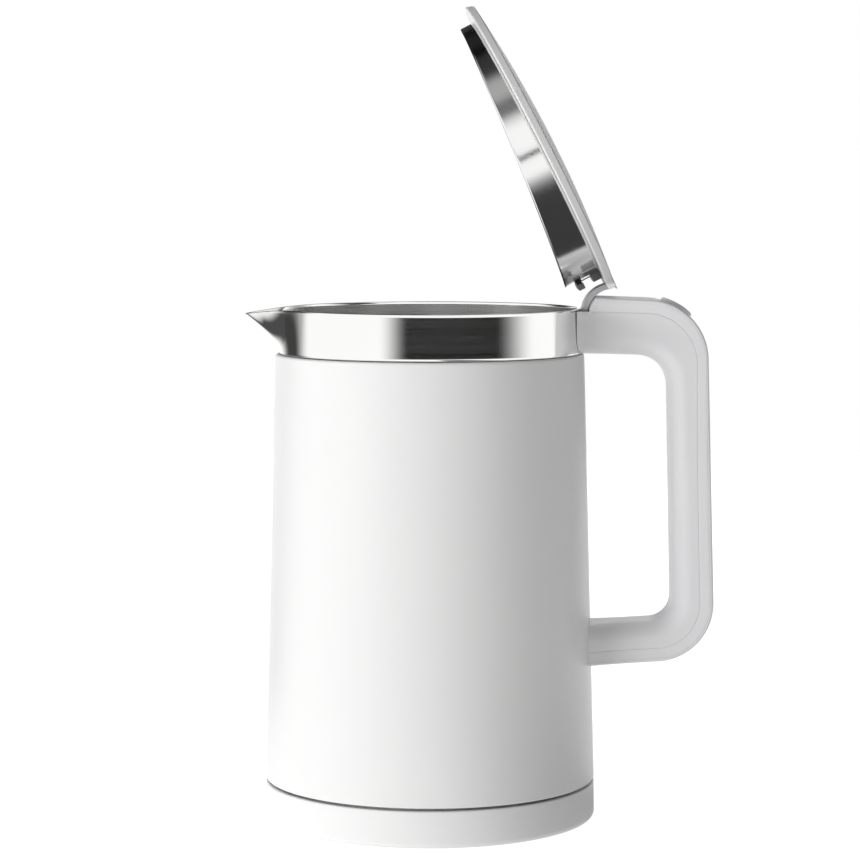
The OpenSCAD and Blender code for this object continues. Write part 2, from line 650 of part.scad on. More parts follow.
module handle_outer() color("gainsboro")
  difference() {
    union() {
      difference() {
        handle_zone(concat(outer_edge(0), reversed(outer_edge(seam_in - 0.1))), 0);
        handle_zone(concat(outer_edge(handle_wall), reversed(outer_edge(seam_in + 4))), handle_wall);
      }
      // the round front, which the lid's arm passes
      intersection() {
        hinge_sector(notch_r - 2.2, notch_r, 60, 100, 165);
        handle_zone(outer_edge(0.4), 0.5);
      }
      // the cage that guides the lid button and carries its spring
      button_place() translate([0, 0, cage_floor - 1]) linear_extrude(top_bend_r - cage_floor - 0.6) capsule(button_l + 3, button_w + 3);
      // the foot's end wall, against the jug
      intersection() {
        handle_zone(concat(outer_edge(0.5), reversed(outer_edge(seam_in - 0.1))), 0.5);
        block(root_x, low_fix_x, 60, 60, 100);
      }
      translate([cover_screw_x, 0, foot_low_z]) cylinder(r = 4.5, h = 4.9);
    }
    jug_envelope(fit);
    difference() {
      block(root_x, hinge.x, 60, 190, far);
      hinge_disc(notch_r, 61);
    }
    hinge_disc(pin_boss_r + 0.4, 2 * (half_w(hinge.x) - handle_wall));
    button_place() {
      translate([0, 0, cage_floor]) linear_extrude(20) capsule(button_l + 2 * slide_gap, button_w + 2 * slide_gap);
      translate([-2.6, -3.9, cage_floor - 5]) cube([5.2, 7.8, 10]);
    }
    key_holes(key_r + slide_gap);
    translate([cover_screw_x, 0, foot_low_z - 5]) cylinder(r = head_r + 0.3, h = 7.2);
    translate([cover_screw_x, 0, foot_low_z]) cylinder(r = shank_r + 0.2, h = 6);
  }

module collar_bracket() color("silver")
  difference() {
    union() {
      intersection() {
        difference() {
          jug_envelope(1);
          jug_envelope(0.02);
        }
        block(root_x, far, 29, fix_z - 3.8, fix_z + 3.8);
      }
      for (y = [-fix_y, fix_y])
        difference() {
          along_x(root_x, fix_x - 2.4, y, fix_z, 2.6);
          jug_envelope(0.02);
        }
    }
    for (y = [-fix_y, fix_y]) along_x(root_x + 5, far, y, fix_z, shank_r + fit);
  }

module nut_plates() color("silver")
  difference() {
    intersection() {
      ring(pad_in, pad_out, low_fix_z - 4, low_fix_z + 4);
      pair_of_blocks(0, far, low_fix_y - 4, low_fix_y + 4, 0, far);
    }
    handle_fixing_holes(shank_r + fit);
  }

module handle_screws() color("silver") {
  for (y = [-fix_y, fix_y]) translate([fix_x + fit, y, fix_z]) rotate([0, -90, 0]) screw(4.6, 1.8);
  for (y = [-low_fix_y, low_fix_y])
    translate([low_fix_x + fit, y, low_fix_z]) rotate([0, -90, 0]) screw(low_fix_x - pad_in + 0.7, 1.8);
}

module cover_screw() color("silver")
  translate([cover_screw_x, 0, foot_low_z + 2.2]) screw(foot_arm_h - 6.5);

module handle_board() color("seagreen") {
  block(board_x - 1.4, board_x, 17, board_z[0], board_z[1]);
  for (z = [boil_z, warm_z]) {
    block(board_x - 0.1, board_x + switch_h, 6, z - 3, z + 3);
    block(board_x - 0.1, board_x + 1.2, 2.6, z + guide_dz - 1.3, z + guide_dz + 1.3);
  }
}

module light_guides() color("white")
  for (z = [boil_z, warm_z]) along_x(board_x + 1.2 + fit, back_x(z + guide_dz) + 0.02, 0, z + guide_dz, 1.2);

module key_button(z) {
  face = back_x(z) + 0.3;
  rim = back_x(z) - handle_wall - slide_gap - abs(back_x(z) - back_x(z + key_r + 1));   // front of the collar that stops the key
  along_x(rim - 0.1, face, 0, z, key_r);
  along_x(rim - 0.9, rim, 0, z, key_r + 1);
  along_x(board_x + switch_h + key_gap, rim - 0.1, 0, z, 2);
}

module boil_button() color("whitesmoke") key_button(boil_z);

module keep_warm_button() color("whitesmoke") key_button(warm_z);

module hinge_pin() color("silver") hinge_disc(pin_r, 2 * (half_w(hinge.x) - handle_wall - 0.1));

module lid_spring() color("silver") {
  wire = 0.45;
  translate([hinge.x, 3.6, hinge.y]) rotate([90, 0, 0]) coil(3.2, wire, 7.2, 6);
}

module latch_spring() color("silver")
  translate([yoke_x[1] + 0.1, 0, latch_spring_z]) rotate([0, 90, 0]) coil(latch_spring_r, 0.35, spring_rib_x - yoke_x[1] - 0.2, 5);

module button_spring() color("silver")
  button_place() translate([0, 0, cage_floor + 0.1]) coil(4.8, 0.35, cap_low - cage_floor - 0.2, 4);

// The fork that holds the lid shut: two prongs beside the hinge arm, and a yoke with a ramp below the button.
module latch_slider() color("gray") {
  difference() {
    union() {
      pair_of_blocks(prong_tip_x, yoke_x[0] + yoke_arm, prong_y[0], prong_y[1], prong_z[0], prong_z[1]);
      pair_of_blocks(yoke_x[0], yoke_x[0] + yoke_arm, 4.2, prong_y[1], yoke_low_z, prong_z[1]);
      block(yoke_x[0], yoke_x[1], 2 * prong_y[1], yoke_low_z, yoke_low_z + 6);
    }
    above_ramp_corner();
  }
  difference() {
    block(yoke_x[0], yoke_x[1] - 2, 7.8, yoke_low_z + 5.9, prong_z[1]);
    above_ramp(-0.1);
  }
}

// Keeps the middle of the yoke below the ramp.
module above_ramp_corner()
  intersection() {
    above_ramp(-0.1);
    block(0, far, 7.8, 0, far);
  }

module lid_button() color("whitesmoke") {
  difference() {
    intersection() {
      button_place() translate([0, 0, cap_low]) linear_extrude(10) capsule(button_l, button_w);
      translate([top_bend.x, 0, top_bend.y]) rotate([90, 0, 0]) cylinder(r = top_bend_r + 1.6, h = 40, center = true);
    }
  }
  intersection() {
    button_place() translate([-2.2, -3.5, cap_low - 30]) cube([4.4, 7, 30.1]);
    above_ramp(0.1);
  }
}

// ---- lid, drawn closed and turned open ----

// The lid's outline seen from above, set in by d: a disc with a tongue towards the hinge.
module lid_plan(d) {
  circle(r = lid_r - d);
  translate([0, d - tongue_half]) square([hinge.x, 2 * (tongue_half - d)]);
}

cup_screw_angles = [45, 135, 225, 315];
arm_screw_x = cup_r - 12.5;

module lid_plate() color("white") lid_open()
  difference() {
    union() {
      translate([0, 0, lid_z]) linear_extrude(lid_floor_t) lid_plan(0);
      intersection() {
        difference() {
          translate([0, 0, lid_z]) linear_extrude(band_top_z - lid_z) lid_plan(0);
          translate([0, 0, lid_z]) linear_extrude(20) lid_plan(2.6);
        }
        union() {
          translate([0, 0, lid_z]) cylinder(r1 = lid_r, r2 = lid_r - 1.1, h = band_top_z - lid_z);
          block(40, hinge.x, 2 * tongue_half, lid_z, band_top_z);
        }
      }
    }
    hinge_disc(arm_in, 60);
    block(arm_screw_x + 8, far, 2 * arm_half + 0.4, 0, far);
    around(cup_screw_angles, cup_screw_r) cylinder(r = shank_r + 0.1, h = far * 2);
    for (y = [-4, 4]) translate([arm_screw_x, y, 0]) cylinder(r = shank_r + 0.1, h = far * 2);
  }

module lid_top() color("white") lid_open() {
  skirt = [lid_r - 5, lid_r - 3];
  n = 10;
  outer = [for (i = [0:n]) let (r = (lid_r - 1.3) * i / n) [r, dome_z(r, 0)]];
  inner = [for (i = [n:-1:0]) let (r = skirt[0] * i / n) [r, dome_z(r, lid_skin)]];
  difference() {
    union() {
      rotate_extrude() polygon(concat(outer, [[lid_r - 1.3, band_top_z + 0.1], [skirt[1], band_top_z + 0.1],
        [skirt[1], band_top_z - 1.6], [skirt[0], band_top_z - 1.6]], inner));
      block(lid_r - 5, hinge.x, 2 * tongue_half - 1, band_top_z + 0.1, band_top_z + 1.2);
    }
    hinge_disc(arm_in, 60);
    block(skirt[0] - 1, skirt[1] + 0.5, 2 * arm_half + 1, 0, band_top_z + 0.09);
  }
}

module lid_arm() color("gainsboro") lid_open()
  difference() {
    union() {
      translate([hinge.x, 0, hinge.y]) rotate([90, 0, 0]) linear_extrude(2 * arm_half, center = true) {
        intersection() {
          difference() {
            circle(r = arm_out);
            circle(r = arm_in);
          }
          pie(160, 253);
        }
        intersection() {
          circle(r = arm_in + 0.5);
          pie(235, 253);
        }
        circle(r = 4.6);
      }
      difference() {
        union() {
          block(arm_screw_x + 8.1, hinge.x, 2 * arm_half - 0.4, lid_z + 0.05, lid_z + lid_floor_t + 0.6);
          block(arm_screw_x - 5, arm_screw_x + 9.5, 2 * arm_half - 0.4, lid_z + lid_floor_t + fit, lid_z + lid_floor_t + 1.1);
        }
        hinge_disc(arm_in + 0.4, 60);
      }
    }
    hinge_disc(4.8, 8.4);
    hinge_disc(pin_r + 0.06, 60);
    for (y = [-4, 4]) translate([arm_screw_x, y, 0]) cylinder(r = shank_r + 0.1, h = far * 2);
  }

module arm_screws() color("silver") lid_open()
  for (y = [-4, 4]) translate([arm_screw_x, y, lid_z + lid_floor_t + 1.15]) rotate([180, 0, 0]) screw(4.6, 0.9);

// The space above the cup's slanting bottom, raised by d.
module above_cup_bottom(d) {
  translate([0, 0, lid_z - (cup_front + cup_back) / 2 + d]) rotate([0, cup_tilt, 0]) translate([-far / 2, -far / 2, 0]) cube(far);
}

module lid_cup() color("silver") lid_open()
  difference() {
    intersection() {
      translate([0, 0, lid_z - 30]) cylinder(r = cup_r, h = 30 - fit);
      above_cup_bottom(0);
    }
    intersection() {
      translate([0, 0, lid_z - 30]) cylinder(r = cup_r - cup_t, h = 30 - 0.9);
      above_cup_bottom(cup_t);
    }
    translate([0, 0, lid_z - 2]) cylinder(r = cup_r - 8.5, h = 5);
    around(cup_screw_angles, cup_screw_r) translate([0, 0, lid_z - 3]) cylinder(r = shank_r + fit, h = 5);
  }

module cup_screws() color("silver") lid_open()
  around(cup_screw_angles, cup_screw_r) translate([0, 0, lid_z + lid_floor_t + fit]) rotate([180, 0, 0]) screw(5, 1);

// A block and a strap on the cup's rear wall that carry the latch bar.
module lid_catch() color("dimgray") lid_open() {
  intersection() {
    union() {
      ring(cup_r + 0.02, cup_r + 3.1, lid_z - 4.2, lid_z - fit);
    }
    block(0, far, bar.y, 0, far * 2);
  }
  intersection() {
    ring(cup_r + 0.02, cup_r + 0.75, bar_z, lid_z - 4);
    block(0, far, 8, 0, far * 2);
  }
  block(bar_x, bar_x + bar.x, bar.y, bar_z, bar_z + bar.z);
}

base_shell();
base_plate();
base_feet();
base_connector();
base_contacts();
base_screws();
connector_screws();
cord_gland();
outer_body();
steel_pot();
pot_bracket();
heater_plate();
heating_element();
temperature_sensor();
jug_connector();
jug_contacts();
bottom_cover();
jug_screws();
control_board();
wire_harness();
handle_inner();
handle_outer();
collar_bracket();
nut_plates();
handle_screws();
cover_screw();
handle_board();
light_guides();
hinge_pin();
lid_spring();
latch_spring();
button_spring();
latch_slider();
lid_button();
boil_button();
keep_warm_button();
lid_plate();
lid_top();
lid_arm();
arm_screws();
lid_cup();
cup_screws();
lid_catch();
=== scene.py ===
import json
import math

import bmesh
import bpy
import numpy as np
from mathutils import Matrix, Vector


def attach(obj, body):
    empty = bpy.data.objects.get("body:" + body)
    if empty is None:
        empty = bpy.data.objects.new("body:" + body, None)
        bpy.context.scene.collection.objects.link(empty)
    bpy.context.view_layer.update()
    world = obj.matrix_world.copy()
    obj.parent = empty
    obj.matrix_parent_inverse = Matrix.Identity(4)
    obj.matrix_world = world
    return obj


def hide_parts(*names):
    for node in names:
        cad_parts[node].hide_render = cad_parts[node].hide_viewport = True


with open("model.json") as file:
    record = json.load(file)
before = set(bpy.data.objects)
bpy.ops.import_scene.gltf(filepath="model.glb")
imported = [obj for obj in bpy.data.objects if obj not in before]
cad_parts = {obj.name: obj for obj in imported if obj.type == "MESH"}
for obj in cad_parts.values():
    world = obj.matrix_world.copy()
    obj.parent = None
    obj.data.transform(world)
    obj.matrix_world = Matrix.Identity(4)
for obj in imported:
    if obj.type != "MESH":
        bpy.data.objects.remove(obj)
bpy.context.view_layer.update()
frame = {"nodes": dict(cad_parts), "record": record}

print("frame loaded with", len(frame["nodes"]), "nodes")

mm = 0.001  # lengths below are in millimetres, and meshes are scaled by this
crispTurn = math.radians(40)  # edges that turn more than this stay crisp


def hexColour(text):  # sRGB hex to linear red, green, blue and alpha
    parts = [int(text[k:k + 2], 16) / 255 for k in (1, 3, 5)]
    linear = [v / 12.92 if v <= 0.04045 else ((v + 0.055) / 1.055) ** 2.4 for v in parts]
    return (*linear, 1.0)


# Camera: a long lens at the height of the open lid, looking along +Y and slightly down

cameraLook = {"lens": 122.24, "place": (0.0, -1.2774, 0.2823), "tilt": 85.04}
cameraData = bpy.data.cameras.new("camera")
cameraData.lens = cameraLook["lens"]
cameraData.sensor_width = 36
camera = bpy.data.objects.new("camera", cameraData)
camera.location = cameraLook["place"]
camera.rotation_euler = (math.radians(cameraLook["tilt"]), 0, 0)
bpy.context.scene.collection.objects.link(camera)
bpy.context.scene.camera = camera
bpy.context.scene.view_settings.view_transform = "Standard"


# Materials

def addNode(tree, kind, links=None, **settings):
    # one shader node; links maps an input's name or index to a value or to another node's output
    node = tree.nodes.new("ShaderNode" + kind)
    for key, value in settings.items():
        setattr(node, key, value)
    for key, value in (links or {}).items():
        if isinstance(value, bpy.types.NodeSocket):
            tree.links.new(value, node.inputs[key])
        else:
            node.inputs[key].default_value = value
    return node


def startMaterial(name):
    material = bpy.data.materials.new(name)
    material.use_nodes = True
    tree = material.node_tree
    tree.nodes.clear()
    output = addNode(tree, "OutputMaterial")
    coords = addNode(tree, "TexCoord").outputs["Object"]
    return material, tree, output, coords


def finish(tree, output, shader):
    tree.links.new(shader.outputs[0], output.inputs["Surface"])


def perMetre(sizeInMm):  # noise scale for features of this size
    return 1000.0 / sizeInMm


def mouldedPlastic(name, look):
    # moulded plastic: two close shades that drift slowly, a fine spark-eroded grain, and gloss that varies
    material, tree, output, coords = startMaterial(name)
    drift = addNode(tree, "TexNoise", {
        "Vector": coords, "Scale": perMetre(look["driftSize"]), "Detail": 2.0})
    shade = addNode(tree, "Mix", {
        "Factor": drift.outputs["Fac"], 6: hexColour(look["colour"]), 7: hexColour(look["colour2"])},
        data_type="RGBA")
    gloss = addNode(tree, "MapRange", {
        "Value": drift.outputs["Fac"], "From Min": 0.3, "From Max": 0.7,
        "To Min": look["roughness"] - 0.03, "To Max": look["roughness"] + 0.03})
    grain = addNode(tree, "TexNoise", {
        "Vector": coords, "Scale": perMetre(look["grainSize"]), "Detail": 3.0})
    bump = addNode(tree, "Bump", {
        "Height": grain.outputs["Fac"], "Strength": look["grainStrength"],
        "Distance": look["grainSize"] * mm * 0.25})
    shader = addNode(tree, "BsdfPrincipled", {
        "Base Color": shade.outputs[2], "Roughness": gloss.outputs["Result"],
        "Normal": bump.outputs["Normal"], "IOR": look["ior"]})
    finish(tree, output, shader)
    return material


def metal(name, look):
    # metal: slow stains move the colour, and fine noise moves gloss and normal slightly; on a turned piece
    # the noise reads (distance from the z axis, 0, z), so that it becomes lines round the axis
    material, tree, output, coords = startMaterial(name)
    where = coords
    if look["turned"]:
        split = addNode(tree, "SeparateXYZ", {"Vector": coords})
        level = addNode(tree, "VectorMath", {0: coords, 1: (1.0, 1.0, 0.0)}, operation="MULTIPLY")
        radius = addNode(tree, "VectorMath", {0: level.outputs[0]}, operation="LENGTH")
        where = addNode(tree, "CombineXYZ", {
            "X": radius.outputs["Value"], "Y": 0.0, "Z": split.outputs["Z"]}).outputs[0]
    lines = addNode(tree, "TexNoise", {
        "Vector": where, "Scale": perMetre(look["lineSize"]), "Detail": 3.0})
    stains = addNode(tree, "TexNoise", {
        "Vector": coords, "Scale": perMetre(look["stainSize"]), "Detail": 3.0})
    shade = addNode(tree, "Mix", {
        "Factor": stains.outputs["Fac"], 6: hexColour(look["colour"]), 7: hexColour(look["colour2"])},
        data_type="RGBA")
    gloss = addNode(tree, "MapRange", {
        "Value": lines.outputs["Fac"], "From Min": 0.3, "From Max": 0.7,
        "To Min": look["roughness"] * 0.8, "To Max": look["roughness"] * 1.2})
    bump = addNode(tree, "Bump", {
        "Height": lines.outputs["Fac"], "Strength": look["lineStrength"],
        "Distance": look["lineSize"] * mm * 0.1})
    shader = addNode(tree, "BsdfPrincipled", {
        "Base Color": shade.outputs[2], "Roughness": gloss.outputs["Result"],
        "Normal": bump.outputs["Normal"], "Metallic": 1.0})
    finish(tree, output, shader)
    return material


def rubberOrWire(name, look):
    # soft polymer: a matt dark surface with a fine bloom and small pits
    material, tree, output, coords = startMaterial(name)
    bloom = addNode(tree, "TexNoise", {
        "Vector": coords, "Scale": perMetre(look["bloomSize"]), "Detail": 4.0})
    shade = addNode(tree, "Mix", {
        "Factor": bloom.outputs["Fac"], 6: hexColour(look["colour"]), 7: hexColour(look["colour2"])},
        data_type="RGBA")
    pits = addNode(tree, "TexVoronoi", {"Vector": coords, "Scale": perMetre(look["pitSize"])})
    bump = addNode(tree, "Bump", {
        "Height": pits.outputs["Distance"], "Strength": 0.2, "Distance": look["pitSize"] * mm * 0.2})
    shader = addNode(tree, "BsdfPrincipled", {
        "Base Color": shade.outputs[2], "Normal": bump.outputs["Normal"], "Roughness": look["roughness"]})
    finish(tree, output, shader)
    return material


def circuitBoard(name, look):
    # glass-fibre laminate under green solder mask: faint copper tracks, as bricks, seen through the mask
    material, tree, output, coords = startMaterial(name)
    tracks = addNode(tree, "TexBrick", {
        "Vector": coords, "Scale": perMetre(look["trackSize"]), "Mortar Size": 0.06,
        "Color1": hexColour(look["colour"]), "Color2": hexColour(look["colour2"]),
        "Mortar": hexColour(look["track"])})
    shader = addNode(tree, "BsdfPrincipled", {
        "Base Color": tracks.outputs["Color"], "Roughness": look["roughness"]})
    finish(tree, output, shader)
    return material


looks = {
    # polypropylene, moulded in a satin tool: an even white with a broad soft highlight
    "whitePolypropylene": (mouldedPlastic, {
        "colour": "#f4f4f3", "colour2": "#f1f1f1", "driftSize": 45, "roughness": 0.36,
        "grainSize": 0.9, "grainStrength": 0.005, "ior": 1.49}),
    # ABS, moulded in a spark-eroded tool: a light neutral grey, a little duller than the white
    "greyAbs": (mouldedPlastic, {
        "colour": "#f3f3f4", "colour2": "#efeff1", "driftSize": 30, "roughness": 0.42,
        "grainSize": 0.7, "grainStrength": 0.03, "ior": 1.52}),
    # hinge arm of the lid: the same plastic in a darker grey, which is painted shade standing in for the
    # shade under the open lid
    "hingeAbsPaintedShade": (mouldedPlastic, {
        "colour": "#bdbdbf", "colour2": "#b8b8ba", "driftSize": 30, "roughness": 0.42,
        "grainSize": 0.7, "grainStrength": 0.03, "ior": 1.52}),
    # polypropylene, as moulded: the pieces under the base and jug
    "paleGreyPolypropylene": (mouldedPlastic, {
        "colour": "#dcdcdb", "colour2": "#d6d6d6", "driftSize": 25, "roughness": 0.5,
        "grainSize": 0.8, "grainStrength": 0.12, "ior": 1.49}),
    # ABS with a polished tool: the buttons, smoother than the handle round them
    "buttonAbs": (mouldedPlastic, {
        "colour": "#e8e8e9", "colour2": "#e4e4e6", "driftSize": 12, "roughness": 0.28,
        "grainSize": 0.5, "grainStrength": 0.03, "ior": 1.52}),
    # polyamide, as moulded: the dark grey of the catch and latch
    "darkPolyamide": (mouldedPlastic, {
        "colour": "#5c5c5f", "colour2": "#525255", "driftSize": 8, "roughness": 0.45,
        "grainSize": 0.5, "grainStrength": 0.1, "ior": 1.53}),
    # stainless steel, mirror-polished: sharp reflections with the faintest turning lines
    "polishedStainless": (metal, {
        "colour": "#efefed", "colour2": "#e9e9e8", "turned": True, "lineSize": 0.8, "lineStrength": 0.02,
        "stainSize": 30, "roughness": 0.06}),
    # stainless steel, polished less: the lid's cup, whose reflections have soft ends
    "satinStainless": (metal, {
        "colour": "#ebebea", "colour2": "#e4e4e4", "turned": False, "lineSize": 0.8, "lineStrength": 0.02,
        "stainSize": 30, "roughness": 0.13}),
    # stainless steel, brushed round the inside: the same metal with a broad blurred sheen
    "brushedStainless": (metal, {
        "colour": "#d8d8d7", "colour2": "#cfcfcf", "turned": True, "lineSize": 0.35, "lineStrength": 0.25,
        "stainSize": 20, "roughness": 0.27}),
    # mild steel, zinc-plated: screws, brackets, pin and springs
    "zincPlatedSteel": (metal, {
        "colour": "#b9babd", "colour2": "#a9abb0", "turned": False, "lineSize": 0.6, "lineStrength": 0.2,
        "stainSize": 3, "roughness": 0.32}),
    # aluminium, die-cast: the heater plate
    "castAluminium": (metal, {
        "colour": "#c9cacb", "colour2": "#b7b8ba", "turned": False, "lineSize": 1.2, "lineStrength": 0.4,
        "stainSize": 10, "roughness": 0.45}),
    # stainless tube, darkened by heat
    "heatedTubeSteel": (metal, {
        "colour": "#5d554e", "colour2": "#47423f", "turned": True, "lineSize": 0.5, "lineStrength": 0.2,
        "stainSize": 6, "roughness": 0.4}),
    # copper, plain
    "plainCopper": (metal, {
        "colour": "#c98b6b", "colour2": "#b57554", "turned": True, "lineSize": 0.5, "lineStrength": 0.15,
        "stainSize": 5, "roughness": 0.3}),
    # brass, stamped: the contacts, rubbed bright along their rings
    "stampedBrass": (metal, {
        "colour": "#d8bd78", "colour2": "#c9a95f", "turned": True, "lineSize": 0.4, "lineStrength": 0.2,
        "stainSize": 6, "roughness": 0.25}),
    # rubber, moulded: the feet
    "mouldedRubber": (rubberOrWire, {
        "colour": "#3c3c3c", "colour2": "#323232", "bloomSize": 4, "pitSize": 0.6, "roughness": 0.75}),
    # PVC insulation, extruded: the wires
    "wireInsulation": (rubberOrWire, {
        "colour": "#2a2a2b", "colour2": "#222223", "bloomSize": 6, "pitSize": 0.5, "roughness": 0.5}),
    # glass-fibre laminate with solder mask
    "boardLaminate": (circuitBoard, {
        "colour": "#1f5d3a", "colour2": "#235f3e", "track": "#3d7a50", "trackSize": 4, "roughness": 0.4}),
}
finishes = {name: make(name, look) for name, (make, look) in looks.items()}
slotFinish = {
    "white_plastic": "whitePolypropylene", "grey_plastic": "greyAbs",
    "light_grey_plastic": "paleGreyPolypropylene", "button_plastic": "buttonAbs",
    "polished_steel": "polishedStainless", "zinc_steel": "zincPlatedSteel", "aluminium": "castAluminium",
    "dark_steel": "heatedTubeSteel", "copper": "plainCopper", "brass": "stampedBrass",
    "board": "boardLaminate", "wire": "wireInsulation", "rubber": "mouldedRubber",
    "dark_plastic": "darkPolyamide",
}
nodeSlot = {row["node"]: row["material_slot"] for row in frame["record"]["subparts"]}
nodeBody = {node: body for body, nodes in frame["record"]["behaviour"]["bodies"].items() for node in nodes}
print("materials made:", len(finishes))


# Mesh tools. A part is a pair: points (n, 3) in millimetres, and a list of faces

def outward(points, faces):
    # turns a closed part inside out if the volume under its faces is negative
    volume = 0.0
    for face in (np.array([f for f in faces if len(f) == k]) for k in sorted({len(f) for f in faces})):
        first = points[face[:, 0]]
        for k in range(1, face.shape[1] - 1):
            volume += np.einsum("ij,ij->", first, np.cross(points[face[:, k]], points[face[:, k + 1]]))
    return points, (faces if volume > 0 else [f[::-1] for f in faces])


def gridPart(grid, closeU=False, closeV=True, capU=False, capV=False):
    # a grid of points (rows, columns, 3) as quads; a closed direction joins its last line to its first,
    # and a cap closes the ends of an open direction with one flat face each
    rows, columns = grid.shape[:2]
    index = np.arange(rows * columns).reshape(rows, columns)
    down = np.roll(index, -1, 0) if closeU else index[1:]
    top = index if closeU else index[:-1]
    if closeV:
        quads = np.stack([top, np.roll(top, -1, 1), np.roll(down, -1, 1), down], -1)
    else:
        quads = np.stack([top[:, :-1], top[:, 1:], down[:, 1:], down[:, :-1]], -1)
    faces = quads.reshape(-1, 4).tolist()
    if capU:
        faces += [index[0][::-1].tolist(), index[-1].tolist()]
    if capV:
        faces += [index[:, 0].tolist(), index[::-1, -1].tolist()]
    return outward(grid.reshape(-1, 3), faces)


def arcPoints(cx, cy, radius, start, end, count):
    # points on a circle, at equal angles in degrees from start to end
    turn = np.radians(np.linspace(start, end, count))
    return np.stack([cx + radius * np.cos(turn), cy + radius * np.sin(turn)], 1)


def softLoop(corners, closed=True):
    # corners are (x, y, radius): each is replaced by an arc that touches both sides,
    # with one extra point on each side so that the flats next to it stay flat when shaded smooth
    points = np.array([c[:2] for c in corners], float)
    out = []
    for k, (x, y, radius) in enumerate(corners):
        here = points[k]
        if radius <= 0 or (not closed and k in (0, len(corners) - 1)):
            out.append(here)
            continue
        back, ahead = points[k - 1] - here, points[(k + 1) % len(points)] - here
        reach = [np.linalg.norm(back), np.linalg.norm(ahead)]
        back, ahead = back / reach[0], ahead / reach[1]
        half = math.acos(max(-1, min(1, float(back @ ahead)))) / 2
        cut = min(radius / math.tan(half), 0.45 * min(reach))
        radius = cut * math.tan(half)
        centre = here + (back + ahead) / np.linalg.norm(back + ahead) * radius / math.sin(half)
        a, b = here + back * cut, here + ahead * cut
        startTurn, endTurn = (math.atan2(*(p - centre)[::-1]) for p in (a, b))
        sweep = (endTurn - startTurn + math.pi) % (2 * math.pi) - math.pi
        turn = startTurn + sweep * np.linspace(0, 1, max(4, int(abs(sweep) * 5) + 1))
        extra = min(0.35 * cut, 0.3)
        out.append(a + back * extra)
        out.extend(centre + radius * np.stack([np.cos(turn), np.sin(turn)], 1))
        out.append(b + ahead * extra)
    return np.array(out)


def turnedPart(loop, count=256, poles=False):
    # a loop of (radius, height) carried round the z axis: x = r cos, y = r sin
    turn = np.linspace(0, 2 * np.pi, count, endpoint=False)[:, None]
    grid = np.stack([np.cos(turn) * loop[:, 0], np.sin(turn) * loop[:, 0],
                     np.broadcast_to(loop[:, 1], (count, len(loop)))], -1)
    return gridPart(grid, closeU=True, closeV=not poles, capV=poles)


def shadeSmooth(mesh, turn=crispTurn):
    mesh.polygons.foreach_set("use_smooth", np.ones(len(mesh.polygons), bool))
    mesh.set_sharp_from_angle(angle=turn)


def addObject(name, mesh, finishName):
    mesh.materials.clear()
    mesh.materials.append(finishes[finishName])
    shadeSmooth(mesh)
    thing = bpy.data.objects.new(name, mesh)
    bpy.context.scene.collection.objects.link(thing)
    return thing


def makePiece(name, parts, finishName, body, replaces=()):
    # joins parts into one smooth-shaded object that rides on a body and replaces CAD nodes
    allPoints, allFaces, start = [], [], 0
    for points, faces in parts:
        allPoints.append(points * mm)
        allFaces += [[v + start for v in f] for f in faces]
        start += len(points)
    mesh = bpy.data.meshes.new(name)
    mesh.from_pydata(np.concatenate(allPoints).tolist(), [], allFaces)
    mesh.update()
    piece = addObject(name, mesh, finishName)
    if body:
        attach(piece, body)
    if replaces:
        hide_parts(*replaces)
    return piece


def cutOut(piece, cutters):
    # subtracts closed cutter parts from a piece, and keeps the result as its mesh
    cutter = makePiece("cutter", cutters, "greyAbs", None)
    modifier = piece.modifiers.new("cut", "BOOLEAN")
    modifier.operation = "DIFFERENCE"
    modifier.solver = "EXACT"
    modifier.use_self = True
    modifier.object = cutter
    graph = bpy.context.evaluated_depsgraph_get()
    result = bpy.data.meshes.new_from_object(piece.evaluated_get(graph))
    piece.modifiers.clear()
    old = piece.data
    piece.data = result
    result.name = old.name
    result.set_sharp_from_angle(angle=crispTurn)
    bpy.data.meshes.remove(old)
    bpy.data.objects.remove(cutter)


def roundedCopy(node, finishName, edge):
    # a copy of a CAD node with doubled points merged, flat faces joined and edges rounded by a bevel
    mesh = frame["nodes"][node].data.copy()
    mesh.name = node + "Rounded"
    work = bmesh.new()
    work.from_mesh(mesh)
    bmesh.ops.remove_doubles(work, verts=work.verts, dist=2e-6)
    bmesh.ops.dissolve_limit(work, angle_limit=math.radians(1.5), verts=work.verts, edges=work.edges)
    work.to_mesh(mesh)
    work.free()
    piece = addObject(node + "Piece", mesh, finishName)
    bevel = piece.modifiers.new("edges", "BEVEL")
    bevel.width = edge * mm
    bevel.segments = 2
    bevel.limit_method = "ANGLE"
    bevel.angle_limit = crispTurn
    bevel.harden_normals = False
    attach(piece, nodeBody[node])
    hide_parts(node)


# Power base and jug body: turned shells

base = {"bottomRadius": 72.7, "topRadius": 72.5, "top": 17.1, "underside": 1.0, "corner": 2.8, "wall": 2.2,
        "deck": 16.0, "deckThickness": 2.2, "hole": 19.6, "mouth": 67.2, "mouthTop": 3.45, "step": 5.2,
        "inletHeight": 8.5, "inletRadius": 4.35, "throughWall": (60.0, 90.0)}
b = base
deckRadius, deckLow = b["topRadius"] - b["wall"], b["deck"] - b["deckThickness"]
baseLoop = softLoop([
    (b["mouth"], b["underside"], 0), (b["bottomRadius"], b["underside"], b["corner"]),
    (b["topRadius"], b["top"], 0.7), (deckRadius, b["top"], 0.5), (deckRadius, b["deck"], 0.4),
    (b["hole"], b["deck"], 0.2), (b["hole"], deckLow, 0.2), (deckRadius - 0.2, deckLow, 0.4),
    (deckRadius - 0.2, b["step"], 0.5), (b["mouth"], b["mouthTop"], 0)])
baseShell = makePiece("baseShell", [turnedPart(baseLoop)], "whitePolypropylene", "base", ["base_shell"])
inlet = arcPoints(0, b["inletHeight"], b["inletRadius"], 0, 360, 49)[:-1]
